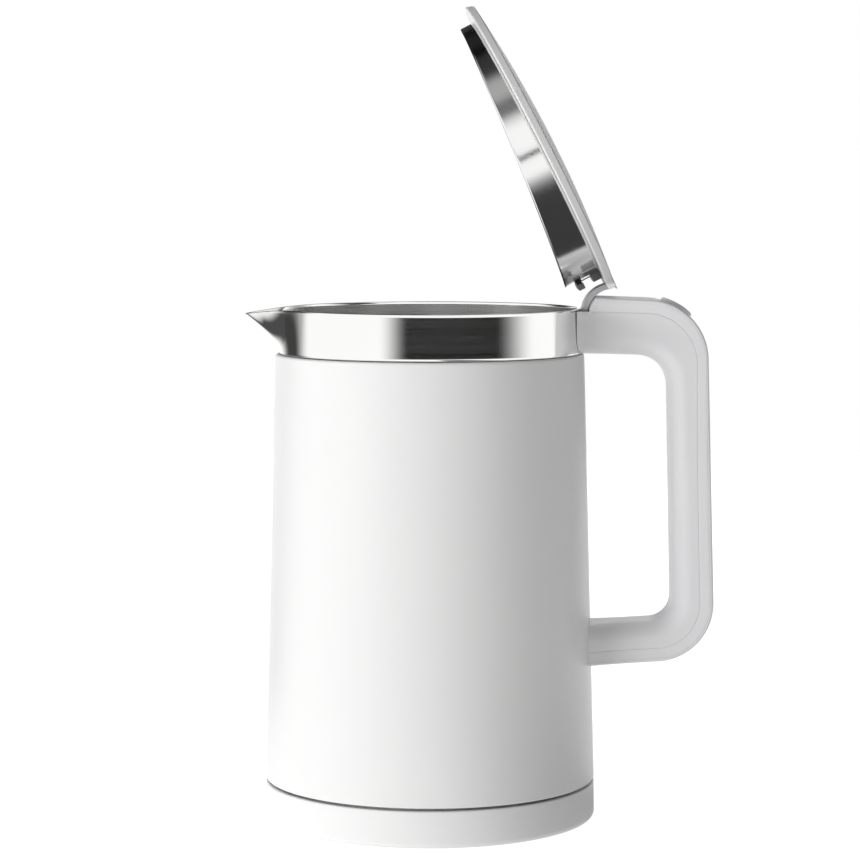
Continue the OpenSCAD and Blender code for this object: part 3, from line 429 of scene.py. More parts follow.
cutOut(baseShell, [gridPart(np.stack([np.insert(inlet, 1, y, 1) for y in b["throughWall"]]), capU=True)])

body = {"low": 18.3, "lowRadius": 72.5, "high": 205.2, "highRadius": 67.5, "coneEnd": 200.0, "wall": 2.4,
        "topEdge": 1.3, "lowEdge": 0.6}
slope = (body["lowRadius"] - body["highRadius"]) / (body["high"] - body["low"])


def bodyRadius(z):  # the cone of the jug's outer body
    return body["lowRadius"] - slope * (z - body["low"])


bodyLoop = softLoop([
    (body["lowRadius"], body["low"], body["lowEdge"]), (body["highRadius"], body["high"], body["topEdge"]),
    (body["highRadius"] - body["wall"], body["high"], 0.3),
    (body["lowRadius"] - body["wall"], body["low"], 0.3)])
makePiece("outerBody", [turnedPart(bodyLoop, 320)], "whitePolypropylene", "jug", ["outer_body"])
print("base and body made")


# Steel pot with its collar and spout

pot = {"seat": 205.3, "seatRadius": 64.8, "seatLow": 203.7, "neckLow": 205.4, "neck": 205.7,
       "neckRadius": 66.0, "rim": 225.15, "rimRadius": 65.6, "sheet": 1.0, "reach": 15.4, "drop": 2.5,
       "spoutHalf": 33.0, "shoulder": 196.2, "floor": 56.0, "corner": 8.0, "inBody": 4.6,
       "slotX": (50, 90), "slotY": (7.9, 11.0), "slotZ": (216.5, 219.9)}
turns = 720  # points round the pot and the lid


def beak(degrees):
    # share of the spout's reach at an angle a from its centre line: exp(-((sqrt(a^2 + 4) - 2) / 9.5)^1.25),
    # a rounded peak, times a factor that brings it to nothing at the spout's end
    a = np.abs(degrees)
    peak = np.exp(-((np.sqrt(a * a + 4) - 2) / 9.5) ** 1.25)
    return peak * np.clip(1 - (a / pot["spoutHalf"]) ** 4, 0, 1)


def potPart():
    # rows go round; columns go from the middle of the floor's inside up over the rim and down the outside.
    # the collar's points stand out by reach * beak * t^1.5 and sink by drop * beak * t, with t from 0 at the
    # neck to 1 at the rim
    turn = np.linspace(-180, 180, turns + 1)[:-1]
    away = np.abs((turn + 360) % 360 - 180)  # degrees from the spout's centre line, which points to -X
    share = beak(away)[:, None]
    p = pot
    wall = p["sheet"]
    innerWall = bodyRadius(p["floor"] + p["corner"]) - p["inBody"]
    topWall = bodyRadius(p["shoulder"]) - p["inBody"]
    inside = softLoop([
        (0.4, p["floor"] + wall, 0), (innerWall - wall, p["floor"] + wall, p["corner"] - wall),
        (topWall - wall, p["shoulder"] + 0.3, 1.5), (p["seatRadius"] - wall, p["seatLow"] + 0.3, 0.6),
        (p["seatRadius"] - wall, p["seat"] + 0.3, 0.3), (p["neckRadius"] - wall, p["neck"], 0)], closed=False)
    outside = softLoop([
        (p["neckRadius"], p["neck"], 0), (p["neckRadius"] - 0.2, p["seat"] + 0.15, 0.1),
        (p["seatRadius"], p["seat"], 0.2), (p["seatRadius"], p["seatLow"], 0.6),
        (topWall, p["shoulder"], 1.5), (innerWall, p["floor"], p["corner"]),
        (0.4, p["floor"], 0)], closed=False)
    t = np.linspace(0, 1, 22)[1:]
    t = t * 0.9 + 0.1 * t ** 3
    straight = p["neckRadius"] - (p["neckRadius"] - p["rimRadius"]) * t
    flare = p["reach"] * share * t ** 1.5
    high = p["rim"] - 0.3
    rise = p["neck"] + t * (high - p["neck"] - (p["drop"] - 0.2) * share)
    lip = np.linspace(0, np.pi, 7)[1:-1]
    lipOut = straight[-1] - wall / 2 + wall / 2 * np.cos(lip) + flare[:, -1:]
    lipUp = rise[:, -1:] + 0.3 * np.sin(lip)
    insideR, insideZ, outsideR, outsideZ = (np.tile(line, (turns, 1)) for line in (*inside.T, *outside.T))
    radii = np.concatenate([insideR, straight - wall + flare, lipOut[:, ::-1],
                            (straight + flare)[:, ::-1], outsideR], 1)
    heights = np.concatenate([insideZ, rise, lipUp[:, ::-1], rise[:, ::-1], outsideZ], 1)
    a = np.radians(turn)[:, None]
    grid = np.stack([np.cos(a) * radii, np.sin(a) * radii, heights], -1)
    return gridPart(grid, closeU=True, closeV=False, capV=True), len(inside) + len(t) - 2, radii.shape[1] - 1


# faces run round the pot column by column; those of the inside columns are brushed
potMesh, insideColumns, columns = potPart()
steelPot = makePiece("steelPot", [potMesh], "polishedStainless", "jug", ["steel_pot"])
steelPot.data.materials.append(finishes["brushedStainless"])
faceIndex = np.arange(len(steelPot.data.polygons))
isInside = (faceIndex % columns < insideColumns) & (faceIndex < turns * columns)
steelPot.data.polygons.foreach_set("material_index", isInside.astype(int))


def boxPart(x, y, z):  # a plain box between two x, two y and two z values, used only for cutting
    ring = [(0, 0), (1, 0), (1, 1), (0, 1)]
    return gridPart(np.array([[[x[i], y[j], z[k]] for i, j in ring] for k in (0, 1)], float), capU=True)


# slots in the collar for the latch's prongs
cutOut(steelPot, [boxPart(pot["slotX"], [side * y for y in pot["slotY"]], pot["slotZ"]) for side in (-1, 1)])
print("pot made")


# Handle: two shells swept along the same C-shaped path

# bends are (x, z, radius); heights and starts are those of the head at the collar and of the foot at the body
handle = {"topOuter": (94.3, 202.75, 26.5), "topInner": (89.6, 190.6, 14.4),
          "lowOuter": (98.4, 96.4, 25.4), "lowInner": (96.05, 98.2, 10.0),
          "headStart": 66.05, "headHigh": 230.29, "headLow": 205.72,
          "footEnd": 70.9, "footHigh": 86.72, "footLow": 69.35,
          "halfWidth": 15.0, "flare": 5.5, "flareFrom": 88.0, "flareOver": 26.0, "seam": 6.0, "seamGap": 0.05,
          "outerEdge": 1.2, "gripCorner": 8.4, "wall": 2.2, "coverStart": 71.7}
ledge = {"inner": 7.9, "rear": 69.9, "low": 222.2, "high": 224.0}
hinge = {"x": 79.8, "z": 222.4, "notch": 10.9, "frontIn": 8.7, "frontTurn": (137, 165), "armInside": 11.3,
         "open": 62.8}


def handlePath():
    # matched points of the outer and inner edges: two straights, two bends and the grip between them
    h = handle
    outer, inner = [], []

    def straight(a0, a1, c0, c1, count, first):
        s = np.linspace(0, 1, count)[0 if first else 1:, None]
        outer.append(np.array(a0) + (np.array(a1) - np.array(a0)) * s)
        inner.append(np.array(c0) + (np.array(c1) - np.array(c0)) * s)

    def bend(o, i, start, end, count):
        outer.append(arcPoints(*o, start, end, count)[1:])
        inner.append(arcPoints(*i, start, end, count)[1:])

    o, i, p, q = h["topOuter"], h["topInner"], h["lowOuter"], h["lowInner"]
    straight((h["headStart"], h["headHigh"]), (o[0], o[1] + o[2]),
             (h["headStart"], h["headLow"]), (i[0], i[1] + i[2]), 28, True)
    bend(o, i, 90, 0, 30)
    straight((o[0] + o[2], o[1]), (p[0] + p[2], p[1]), (i[0] + i[2], i[1]), (q[0] + q[2], q[1]), 24, False)
    bend(p, q, 0, -90, 26)
    straight((p[0], p[1] - p[2]), (h["footEnd"], h["footLow"]),
             (q[0], q[1] - q[2]), (h["footEnd"], h["footHigh"]), 28, False)
    return np.concatenate(outer), np.concatenate(inner)


def halfWidth(x):  # the handle widens towards the jug by flare * ((flareFrom - x) / flareOver)^2
    h = handle
    return h["halfWidth"] + h["flare"] * np.clip((h["flareFrom"] - x) / h["flareOver"], 0, None) ** 2


def mirrored(side):
    # a section's points (inset from the side, height, share) on +y, and the same back along -y
    side = np.array(side, float)
    ones = np.ones((len(side), 1))
    return np.concatenate([np.hstack([ones, side]), np.hstack([-ones, side])[::-1]])


def sweptPart(section, outer, inner, frontAt=None):
    # section rows are (side, inset, height, share): y = side * (half width - inset), and the point lies at
    # height + share * thickness along the line from the inner edge to the outer edge; both ends follow the
    # jug's surface, or the head's end follows frontAt(z)
    across = outer - inner
    thickness = np.linalg.norm(across, axis=1, keepdims=True)
    across = across / thickness
    along = section[:, 2] + section[:, 3] * thickness
    x = inner[:, :1] + across[:, :1] * along
    z = inner[:, 1:] + across[:, 1:] * along
    y = section[:, 0] * (halfWidth(x) - section[:, 1])
    jugRadius = 0.05 + np.where(z > pot["neckLow"], pot["neckRadius"],
                                np.where(z > body["coneEnd"], body["highRadius"], bodyRadius(z)))
    jugX = np.sqrt(jugRadius ** 2 - y ** 2)
    isHead = z > handle["lowOuter"][1]
    start = np.where(isHead, outer[0, 0], handle["footEnd"])
    target = np.where(isHead, frontAt(z), jugX) if frontAt else jugX
    fade = np.clip((handle["flareFrom"] - x) / (handle["flareFrom"] - start), 0, None) ** 2
    x = x + (target - start) * np.where(x < handle["flareFrom"], fade, 0)
    return gridPart(np.stack([x, y, z], -1), capU=True)


def cornerSide(inset, height, share, radius, turn0, turn1, count):
    # an arc of a section: its centre lies radius in from the side and at height
    turn = np.radians(np.linspace(turn0, turn1, count))
    return [(inset + radius - radius * math.cos(t), height + radius * math.sin(t), share) for t in turn]


outerEdge, innerEdge = handlePath()
h = handle
depth = h["seam"] + h["seamGap"]
corner, wall = h["gripCorner"], h["wall"]
innerShellOutside = [(0.14, -depth, 1), (0.03, -depth - 0.04, 1), (0, -depth - 0.14, 1),
                     (0, -depth - 0.8, 1), (0, corner + 0.4, 0)] \
    + cornerSide(0, corner, 0, corner, 0, -90, 12) + [(corner + 0.5, 0, 0)]
innerShellInside = [(wall - 0.2, -depth, 1), (wall, -depth - 0.2, 1), (wall, corner, 0)] \
    + cornerSide(wall, corner, 0, corner - wall, 0, -90, 6)
innerLoop = np.concatenate([mirrored(innerShellOutside), mirrored(innerShellInside)[::-1]])
innerShellParts = [sweptPart(innerLoop, outerEdge, innerEdge)]

# ledges beside the lid's arm: plates from the collar to just under the round front
for side in (-1, 1):
    share = np.linspace(0, 1, 16)
    y = side * (ledge["inner"] + (halfWidth(pot["neckRadius"]) - 0.4 - ledge["inner"]) * share)
    front = np.sqrt((pot["neckRadius"] + 0.05) ** 2 - y ** 2)
    rear = np.full(16, ledge["rear"])
    loop = [(front, ledge["high"]), (rear, ledge["high"]), (rear, ledge["low"]), (front, ledge["low"])]
    grid = np.stack([np.insert(np.stack([x, y], 1), 2, z, 1) for x, z in loop], 1)
    innerShellParts.append(gridPart(grid, capU=True))
makePiece("handleInner", innerShellParts, "greyAbs", "jug", ["handle_inner"])

# the outer shell has a fine groove just below its rounded edge
seam, edge = -h["seam"], h["outerEdge"]
outerShellOutside = [(0.14, seam, 1), (0.03, seam + 0.04, 1), (0, seam + 0.14, 1), (0, seam + 0.8, 1),
                     (0, -edge - 0.5, 1), (0.3, -edge - 0.45, 1), (0.3, -edge - 0.15, 1),
                     (0, -edge - 0.1, 1)] \
    + [(a, c - edge, k) for a, c, k in cornerSide(0, 0, 1, edge, 0, 90, 7)] + [(edge + 0.4, 0, 1)]
outerShellInside = [(wall - 0.2, seam, 1), (wall, seam + 0.2, 1), (wall, -wall, 1)]
outerLoop = np.concatenate([mirrored(outerShellOutside), mirrored(outerShellInside)[::-1]])
keep = outerEdge[:, 0] > h["coverStart"]
keep[len(keep) // 2:] = True


def notchX(z):
    # the cover's front lies on an arc about the hinge: x = hinge - sqrt(notch^2 - (z - hinge height)^2)
    return hinge["x"] - np.sqrt(np.clip(hinge["notch"] ** 2 - (z - hinge["z"]) ** 2, 0, None))


coverEdge = outerEdge[keep]
coverParts = [sweptPart(outerLoop, coverEdge, innerEdge[keep], notchX)]

# round front of the head: a curved wall about the hinge, under the cover's edge
turn = np.radians(np.linspace(*hinge["frontTurn"], 24))
edgeStart = coverEdge[0, 1] - edge - 0.1
frontOut, frontIn = hinge["notch"] - 0.02, hinge["frontIn"]
frontGrid = []
for radius, side in ((frontOut, 1), (frontOut, -1), (frontIn, -1), (frontIn, 1)):
    x = hinge["x"] + radius * np.cos(turn)
    z = hinge["z"] + radius * np.sin(turn)
    rise = np.clip(z - edgeStart, 0, edge - 0.01)  # the side follows the cover's rounded edge
    width = halfWidth(x) - 0.35 - edge + np.sqrt(edge ** 2 - rise ** 2)
    frontGrid.append(np.stack([x, side * width, z], 1))
coverParts.append(gridPart(np.stack(frontGrid, 1), capU=True))
handleOuter = makePiece("handleOuter", coverParts, "greyAbs", "jug", ["handle_outer"])

# heights of the button's slot, skirt and stem count from the handle's outer edge; a key's profile is
# (radius, depth behind its face, corner)
button = {"angle": 59.5, "length": 15.0, "width": 12.0, "gap": 0.3, "proud": 1.6, "edge": 0.8,
          "slot": (-7.6, 6), "skirt": (-1.6, -3.5), "stem": (2.2, 3.5), "stemTop": 3.1, "reach": 11.5}
keys = {"boil": 118.0, "warm": 101.0, "radius": 5.0, "gap": 0.3, "proud": 0.3, "lightAbove": 9.0,
        "lightRadius": 1.25, "throughWall": (118, 130),
        "profile": [(0.2, 0.35, 0), (3.4, 0.1, 2), (4.0, 0, 0.5), (5.0, 0, 0.7), (5.0, 2.9, 0.1),
                    (6.0, 2.95, 0.2), (6.0, 3.8, 0.2), (2.0, 3.8, 0.2), (2.0, 8.2, 0.2), (0.2, 8.2, 0)]}


def capsuleOutline(length, width, count=96):
    # a slot's outline at equal shares of its own length: two half circles joined by straights
    radius, half = width / 2, (length - width) / 2
    halfTurn = math.pi * radius
    s = np.linspace(0, 2 * halfTurn + 4 * half, count, endpoint=False)
    stretch = [s < halfTurn, s < halfTurn + 2 * half, s < 2 * halfTurn + 2 * half]
    turn = np.select(stretch, [s / radius, math.pi, (s - 2 * half) / radius], 2 * math.pi) - math.pi / 2
    shift = np.select(stretch, [half, half - (s - halfTurn), -half], -half + (s - 2 * halfTurn - 2 * half))
    return np.stack([shift + radius * np.cos(turn), radius * np.sin(turn)], 1)


def aboutBend(points):
    # from the button's own frame (along the handle, across it, out from the bend's centre) to the model's
    turn = math.radians(90 - button["angle"])
    x, y, z = points[..., 0], points[..., 1], points[..., 2]
    centre = handle["topOuter"]
    return np.stack([centre[0] + x * math.cos(turn) + z * math.sin(turn), y,
                     centre[1] - x * math.sin(turn) + z * math.cos(turn)], -1)


def slotLayers(outline, heights):  # the outline at each height above the handle's outer edge
    return [np.insert(outline, 2, handle["topOuter"][2] + height, 1) for height in heights]


def holeThrough(z, radius, count):
    ring = arcPoints(0, z, radius, 0, 360, count + 1)[:-1]
    return gridPart(np.stack([np.insert(ring, 0, x, 1) for x in keys["throughWall"]]), capU=True)


keyHeights = (keys["boil"], keys["warm"])
slotOutline = capsuleOutline(button["length"] + 2 * button["gap"], button["width"] + 2 * button["gap"])
cutOut(handleOuter, [gridPart(aboutBend(np.stack(slotLayers(slotOutline, button["slot"]))), capU=True)]
       + [holeThrough(z, keys["radius"] + keys["gap"], 48) for z in keyHeights]
       + [holeThrough(z + keys["lightAbove"], keys["lightRadius"], 24) for z in keyHeights])
print("handle made")


# Lid release button and the two keys

def capPart():
    # rings from the middle of the top to its edge, over the edge and down the skirt; the top is concentric
    # with the handle's bend: a ring's height is sqrt(top^2 - x^2) - sink
    outline = capsuleOutline(button["length"], button["width"])
    top, edge = handle["topOuter"][2] + button["proud"], button["edge"]
    flat = capsuleOutline(button["length"] - 2 * edge, button["width"] - 2 * edge)
    rings = [(outline * share, 0.0) for share in np.linspace(0.03, 0.9, 8)]
    rings += [(flat + (outline - flat) * math.sin(turn), edge * (1 - math.cos(turn)))
              for turn in np.linspace(0, np.pi / 2, 6)]
    layers = [np.hstack([ring, np.sqrt(top ** 2 - ring[:, :1] ** 2) - sink]) for ring, sink in rings]
    return gridPart(aboutBend(np.stack(layers + slotLayers(outline, button["skirt"]))), capU=True)


# the stem ends 0.1 mm above the latch's ramp, which leans at half the button's angle
ramp = math.radians(button["angle"] / 2)
stemX, stemY = button["stem"]
sides = np.array([(-stemX, -stemY), (stemX, -stemY), (stemX, stemY), (-stemX, stemY)])
stemLow = handle["topOuter"][2] - button["reach"] + (0.1 + sides[:, 0] * math.cos(ramp)) / math.sin(ramp)
stem = aboutBend(np.stack([np.insert(sides, 2, stemLow, 1), *slotLayers(sides, [-button["stemTop"]])]))
makePiece("lidButton", [capPart(), gridPart(stem, capU=True)], "buttonAbs", "release_button", ["lid_button"])


def backX(z):  # the handle's outer face at the grip
    o, p = handle["topOuter"], handle["lowOuter"]
    return o[0] + o[2] + (p[0] + p[2] - o[0] - o[2]) * (o[1] - z) / (o[1] - p[1])


def keyPart(z):
    # a round key turned about an axis along x: a shallow dish with a soft rim, a collar behind the wall
    # and a stem
    face = backX(z) + keys["proud"]
    loop = softLoop([(radius, face - behind, soft) for radius, behind, soft in keys["profile"]], closed=False)
    points, faces = turnedPart(loop, 96, poles=True)
    return outward(np.stack([points[:, 2], points[:, 0], points[:, 1] + z], 1), faces)


makePiece("boilButton", [keyPart(keys["boil"])], "buttonAbs", "boil_key", ["boil_button"])
makePiece("keepWarmButton", [keyPart(keys["warm"])], "buttonAbs", "warm_key", ["keep_warm_button"])
print("buttons made")


# Lid: drawn closed, then turned open about the hinge

lid = {"low": 225.45, "radius": 68.1, "ridge": 228.75, "ridgeRadius": 66.95, "top": 233.05, "floor": 1.6,
       "rimIn": 64.4, "skirtOut": 65.0, "skirtIn": 63.1, "skirt": 1.6, "underTop": (227.85, 231.5),
       "tongueHalf": 14.0, "roundTo": 61.0, "armSlot": ((58.0, 80.0), (-7.7, 7.7), (220.0, 240.0))}
cup = {"radius": 60.5, "mouth": 52.0, "front": 6.4, "back": 16.6, "edge": 0.8, "sheet": 0.8}
catch = {"half": 11.0, "depth": 3.05, "low": 4.2, "bar": (0.47, 3.17, 213.9, 216.9), "strapHalf": 4.0,
         "strap": 0.35, "strapLow": 214.5}


def opened(points):
    # turns points about the hinge by the open angle, from +Z towards +X
    turn = math.radians(hinge["open"])
    x, z = points[..., 0] - hinge["x"], points[..., 2] - hinge["z"]
    return np.stack([hinge["x"] + x * math.cos(turn) + z * math.sin(turn), points[..., 1],
                     hinge["z"] - x * math.sin(turn) + z * math.cos(turn)], -1)


def lidPart(loop):
    # a loop of (radius, height) turned about z; beside the hinge the edge runs out into a short tongue,
    # which ends on an arc about the hinge: x = hinge - sqrt(armInside^2 - (z - hinge height)^2)
    turn = np.linspace(-np.pi, np.pi, turns, endpoint=False)[:, None]
    radii, heights = (np.broadcast_to(values, (turns, len(loop))) for values in loop.T)
    endX = hinge["x"] - np.sqrt((hinge["armInside"] + 0.1) ** 2 - (heights - hinge["z"]) ** 2)
    reach = endX / np.clip(np.cos(turn), 0.2, None)
    sideY = np.abs(np.sin(turn)) * lid["radius"]
    within = np.clip((lid["tongueHalf"] + 0.6 - sideY) / 1.2, 0, 1) * (np.cos(turn) > 0)
    within = within * within * (3 - 2 * within)
    nearEdge = np.clip((radii - lid["roundTo"]) / (loop[:, 0].max() - lid["roundTo"]), 0, 1) ** 2
    radii = radii + (reach - loop[:, 0].max()) * within * nearEdge
    grid = np.stack([np.cos(turn) * radii, np.sin(turn) * radii, heights], -1)
    return gridPart(opened(grid), closeU=True, closeV=False, capV=True)


def domeHeight(r):  # a shallow sphere from the top down to the ridge
    rise = lid["top"] - lid["ridge"] - 0.15
    sphere = ((lid["ridgeRadius"] - 0.2) ** 2 + rise ** 2) / (2 * rise)
    return lid["top"] - sphere + np.sqrt(sphere ** 2 - r ** 2)


floorTop = lid["low"] + lid["floor"]
plateLoop = softLoop([
    (0.3, lid["low"], 0), (lid["radius"] - 0.1, lid["low"], 0.6), (lid["ridgeRadius"], lid["ridge"], 0.5),
    (lid["rimIn"], lid["ridge"], 0.2), (lid["rimIn"], floorTop, 0.2), (0.3, floorTop, 0)], closed=False)
lidPlate = makePiece("lidPlate", [lidPart(plateLoop)], "whitePolypropylene", "lid", ["lid_plate"])
slotPoints, slotFaces = boxPart(*lid["armSlot"])
cutOut(lidPlate, [(opened(slotPoints), slotFaces)])

domeEdge, skirtTop = lid["ridgeRadius"] - 1.2, lid["ridge"] + 0.12
skirtLow = lid["ridge"] - lid["skirt"]
domeR = np.linspace(0.3, domeEdge, 48)
domeLoop = np.concatenate([
    np.stack([domeR, domeHeight(domeR)], 1),
    softLoop([(domeEdge, domeHeight(domeEdge), 0),
              (lid["ridgeRadius"] - 0.05, domeHeight(lid["ridgeRadius"] - 0.2), 0.35),
              (lid["ridgeRadius"] - 0.25, skirtTop, 0.15), (lid["skirtOut"], skirtTop, 0),
              (lid["skirtOut"], skirtLow, 0), (lid["skirtIn"], skirtLow, 0),
              (lid["skirtIn"], lid["underTop"][0], 0), (0.3, lid["underTop"][1], 0)], closed=False)])
makePiece("lidTop", [lidPart(domeLoop)], "whitePolypropylene", "lid", ["lid_top"])


def cupPart():
    # a wall round a slanting bottom: heights marked 1 follow the bottom plane, which falls towards the hinge,
    # and heights marked 0 count from the lid's underside
    radius, edge, sheet = cup["radius"], cup["edge"], cup["sheet"]
    low = (cup["front"] + cup["back"]) / 2
    fall = (cup["back"] - cup["front"]) / (2 * radius)
    inside = [(radius - edge + (edge - sheet) * math.cos(t), edge - (edge - sheet) * math.sin(t), 1)
              for t in np.linspace(math.pi / 2, 0, 6)]
    outside = [(radius - edge + edge * math.cos(t), edge - edge * math.sin(t), 1)
               for t in np.linspace(0, math.pi / 2, 9)]
    profile = [(0.3, sheet, 1), (radius - edge - 0.5, sheet, 1), *inside, (radius - sheet, -0.9, 0),
               (cup["mouth"], -0.9, 0), (cup["mouth"], -0.05, 0), (radius - 0.9, -0.05, 0),
               (radius - 0.5, -0.05, 0), (radius - 0.15, -0.2, 0), (radius, -0.55, 0), (radius, -1.2, 0),
               (radius, edge + 0.4, 1), *outside, (radius - edge - 0.5, 0, 1), (30.0, 0, 1), (0.3, 0, 1)]
    r, dz, kind = np.array(profile, float).T
    turn = np.linspace(0, 2 * np.pi, 360, endpoint=False)[:, None]
    x = np.cos(turn) * r
    z = lid["low"] + dz - np.where(kind > 0.5, low + x * fall, 0)
    return gridPart(opened(np.stack([x, np.sin(turn) * r, z], -1)), closeU=True, closeV=False, capV=True)


makePiece("lidCup", [cupPart()], "satinStainless", "lid", ["lid_cup"])


def bowedBar(loop, half, bowed):
    # a closed loop of (x, z) carried across the lid from -half to half; a bowed bar follows the cup's wall:
    # x' = sqrt(x^2 - y^2)
    y, x = np.meshgrid(np.linspace(-half, half, 24), loop[:, 0], indexing="ij")
    z = np.broadcast_to(loop[:, 1], x.shape)
    return gridPart(opened(np.stack([np.sqrt(x ** 2 - y ** 2) if bowed else x, y, z], -1)), capU=True)


def rectangle(x0, x1, z0, z1, radius):
    return softLoop([(x0, z0, radius), (x1, z0, radius), (x1, z1, radius), (x0, z1, radius)])


# the catch: a block and the bar that the latch holds, joined by a thin strap on the cup's rear wall
wallX = cup["radius"] + 0.03
blockLow = lid["low"] - catch["low"]
barIn, barOut, barLow, barHigh = catch["bar"]
makePiece("lidCatch", [
    bowedBar(rectangle(wallX, wallX + catch["depth"], blockLow, lid["low"] - 0.05, 0.4), catch["half"], True),
    bowedBar(rectangle(wallX + barIn, wallX + barOut, barLow, barHigh, 0.35), catch["half"], False),
    bowedBar(rectangle(wallX, wallX + catch["strap"], catch["strapLow"], blockLow + 0.2, 0.1),
             catch["strapHalf"], True)], "darkPolyamide", "lid", ["lid_catch"])
print("lid made")


# Pieces that keep the CAD shape, with softened edges

# the lid's arm: its darker grey is painted shade, for the shade that falls on it under the open lid
roundedCopy("lid_arm", "hingeAbsPaintedShade", 0.5)
roundedCopy("latch_slider", "darkPolyamide", 0.25)
for node in ("base_connector", "base_plate", "bottom_cover", "jug_connector", "cord_gland"):
    roundedCopy(node, "paleGreyPolypropylene", 0.3)
roundedCopy("base_feet", "mouldedRubber", 0.25)

for node, thing in frame["nodes"].items():
    thing.data.materials.clear()
    thing.data.materials.append(finishes[slotFinish[nodeSlot[node]]])
    shadeSmooth(thing.data, math.radians(30))
print("CAD pieces finished")


# Studio: white floor and world, soft lamps, and dark flags, ceilings and table patches that only steel shows

studio = {
    "skyLight": 0.22,  # what the sky adds to plain surfaces
    "mirrored": 1.15,  # how bright steel sees the white studio
    "floorBounce": 0.35,  # what the white table adds to plain surfaces
    "floorGlow": 0.9, "floorColour": "#d8d8d8",
    "floorHalf": 1.7,  # half of the floor's side, in metres: short enough for upright steel to see past it
    # lamps in metres and watts; each looks at a point this high above the middle of the floor
    "lamps": {"leftLamp": {"place": (-2.0, -1.6, 0.36), "size": (1.5, 0.7), "power": 42.5, "aim": 0.15},
              "rightLamp": {"place": (1.1, -1.9, 0.3), "size": (0.8, 0.6), "power": 2.1, "aim": 0.15},
              "edgeLamp": {"place": (-2.3, 0.5, 0.36), "size": (0.8, 0.6), "power": 2.2, "aim": 0.15},
              "topLamp": {"place": (0.3, 1.6, 1.7), "size": (1.2, 1.0), "power": 13, "aim": 0.2}},
    # turns are in degrees about z from the front, heights in degrees above the horizon, and "soft" is how far
    # each edge fades
    "flags": [{"turn": (-16, 50), "soft": (24, 38), "height": (-2.6, 0.5), "edge": 0.5, "depth": 0.99},
              {"turn": (122, 160), "soft": (16, 8), "height": (-30, 12), "edge": 4, "depth": 0.94},
              {"turn": (-134, -124), "soft": (22, 20), "height": (-30, 12), "edge": 4, "depth": 0.95},
              {"turn": (-180, -120), "soft": (1, 25), "height": (9, 70), "edge": 4, "depth": 0.96},
              {"turn": (-180, 180), "soft": (1, 1), "height": (34, 39), "edge": 7, "depth": 0.6}],
    "ceilings": [{"from": 19, "to": 35, "depth": 0.6}, {"from": 55, "to": 62, "depth": 0.93}],
    # what plain surfaces miss of the sky, at the right
    "rightWall": {"turn": (85, 135), "soft": (40, 30), "depth": 0.85},
    # dark table that steel shows: a wedge at the left back, and a mat at the right, in metres
    "wedge": {"turn": (-136, -118), "soft": (18, 20), "from": 0.3, "full": 0.4, "depth": 0.93},
    "mat": {"x": (0.1, 0.3), "y": (-0.47, 0.03), "softX": (0.05, 0.05), "softY": (0.7, 0.05), "depth": 0.96},
}


def band(value, ends, soft):  # the two steps of a band whose ends fade outwards
    return [(value, ends[0] - soft[0], ends[0]), (value, ends[1] + soft[1], ends[1])]


def darkened(tree, light, patches):
    # light * (1 - depth * mask) for each (steps, depth); a mask is the product of its smooth steps, and
    # a step (value, start, end) is 0 before start and 1 past end, also with start above end
    for steps, depth in patches:
        mask = 1.0
        for value, start, end in steps:
            step = addNode(tree, "MapRange", {
                "Value": value, "From Min": min(start, end), "From Max": max(start, end),
                "To Min": float(start > end), "To Max": float(start < end)}, interpolation_type="SMOOTHSTEP")
            mask = addNode(tree, "Math", {0: mask, 1: step.outputs[0]}, operation="MULTIPLY").outputs[0]
        left = addNode(tree, "Math", {0: mask, 1: -depth, 2: 1.0}, operation="MULTIPLY_ADD")
        light = addNode(tree, "Math", {0: light, 1: left.outputs[0]}, operation="MULTIPLY").outputs[0]
    return light


def splitAround(tree, vector):
    # a vector's x, y and z, and its turn about z from the front in degrees: atan2(x, -y)
    split = addNode(tree, "SeparateXYZ", {0: vector}).outputs
    toFront = addNode(tree, "Math", {0: split["Y"], 1: -1.0}, operation="MULTIPLY")
    around = addNode(tree, "Math", {0: split["X"], 1: toFront.outputs[0]}, operation="ARCTAN2")
    return split, addNode(tree, "Math", {0: around.outputs[0]}, operation="DEGREES").outputs[0]


def strengthFor(tree, plain, mirrored, direct):
    # the strength that plain surfaces see, the one that reflections show, and the one for the camera and
    # clear pieces; also returns the share of rays that are reflections
    path = addNode(tree, "LightPath").outputs
    seen = addNode(tree, "Math", {0: path["Is Camera Ray"], 1: path["Is Transmission Ray"]},
                   operation="MAXIMUM")
    strength = addNode(tree, "Mix", {"Factor": path["Is Glossy Ray"], 2: plain, 3: mirrored})
    strength = addNode(tree, "Mix", {"Factor": seen.outputs[0], 2: strength.outputs[0], 3: direct})
    return strength.outputs[0], path["Is Glossy Ray"]


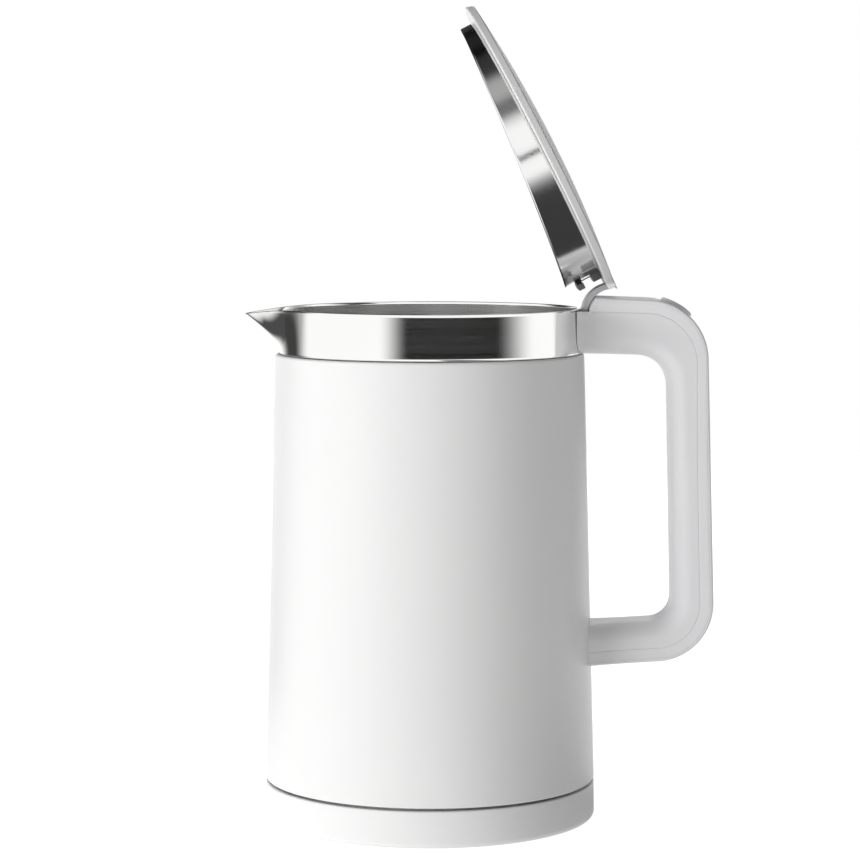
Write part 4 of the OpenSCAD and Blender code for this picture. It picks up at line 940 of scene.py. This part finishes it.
world = bpy.data.worlds.new("studioWorld")
world.use_nodes = True
bpy.context.scene.world = world
tree = world.node_tree
tree.nodes.clear()
direction, around = splitAround(tree, addNode(tree, "TexCoord").outputs["Generated"])
height = addNode(tree, "Math", {0: direction["Z"]}, operation="ARCSINE")
height = addNode(tree, "Math", {0: height.outputs[0]}, operation="DEGREES").outputs[0]
patches = [([(height, part["from"], part["to"])], part["depth"]) for part in studio["ceilings"]]
patches += [(band(around, flag["turn"], flag["soft"]) + band(height, flag["height"], [flag["edge"]] * 2),
             flag["depth"]) for flag in studio["flags"]]
wall = studio["rightWall"]
skyLight = darkened(tree, studio["skyLight"], [(band(around, wall["turn"], wall["soft"]), wall["depth"])])
strength = strengthFor(tree, skyLight, darkened(tree, studio["mirrored"], patches), 1.0)[0]
sky = addNode(tree, "Background", {"Color": (1, 1, 1, 1), "Strength": strength})
tree.links.new(sky.outputs[0], addNode(tree, "OutputWorld").inputs["Surface"])

for name, look in studio["lamps"].items():
    data = bpy.data.lights.new(name, "AREA")
    data.shape = "RECTANGLE"
    data.size, data.size_y = look["size"]
    data.energy = look["power"]
    lamp = bpy.data.objects.new(name, data)
    lamp.location = look["place"]
    aim = Vector((0, 0, look["aim"])) - Vector(look["place"])
    lamp.rotation_euler = aim.to_track_quat("-Z", "Y").to_euler()
    lamp.visible_glossy = False  # steel shows the white studio instead
    bpy.context.scene.collection.objects.link(lamp)

# painted floor: paint that glows a little, and in reflections only the glow, with its dark patches
floorMaterial, tree, output, coords = startMaterial("paintedFloor")
place, around = splitAround(tree, coords)
away = addNode(tree, "VectorMath", {0: coords}, operation="LENGTH").outputs["Value"]
mat, wedge = studio["mat"], studio["wedge"]
matSteps = band(place["X"], mat["x"], mat["softX"]) + band(place["Y"], mat["y"], mat["softY"])
wedgeSteps = band(around, wedge["turn"], wedge["soft"]) + [(away, wedge["from"], wedge["full"])]
patches = [(matSteps, mat["depth"]), (wedgeSteps, wedge["depth"])]
strength, isMirrored = strengthFor(tree, studio["floorBounce"], darkened(tree, studio["mirrored"], patches),
                                   studio["floorGlow"])
paint = addNode(tree, "BsdfDiffuse", {"Color": hexColour(studio["floorColour"])})
glow = addNode(tree, "Emission", {"Color": (1, 1, 1, 1), "Strength": strength})
both = addNode(tree, "AddShader", {0: paint.outputs[0], 1: glow.outputs[0]})
mixed = addNode(tree, "MixShader", {0: isMirrored, 1: both.outputs[0], 2: glow.outputs[0]})
finish(tree, output, mixed)

half = studio["floorHalf"]
floorMesh = bpy.data.meshes.new("floor")
corners = [(-half, -half, 0), (half, -half, 0), (half, half, 0), (-half, half, 0)]
floorMesh.from_pydata(corners, [], [(0, 1, 2, 3)])
floorMesh.materials.append(floorMaterial)
floor = bpy.data.objects.new("floor", floorMesh)
bpy.context.scene.collection.objects.link(floor)
print("studio made")
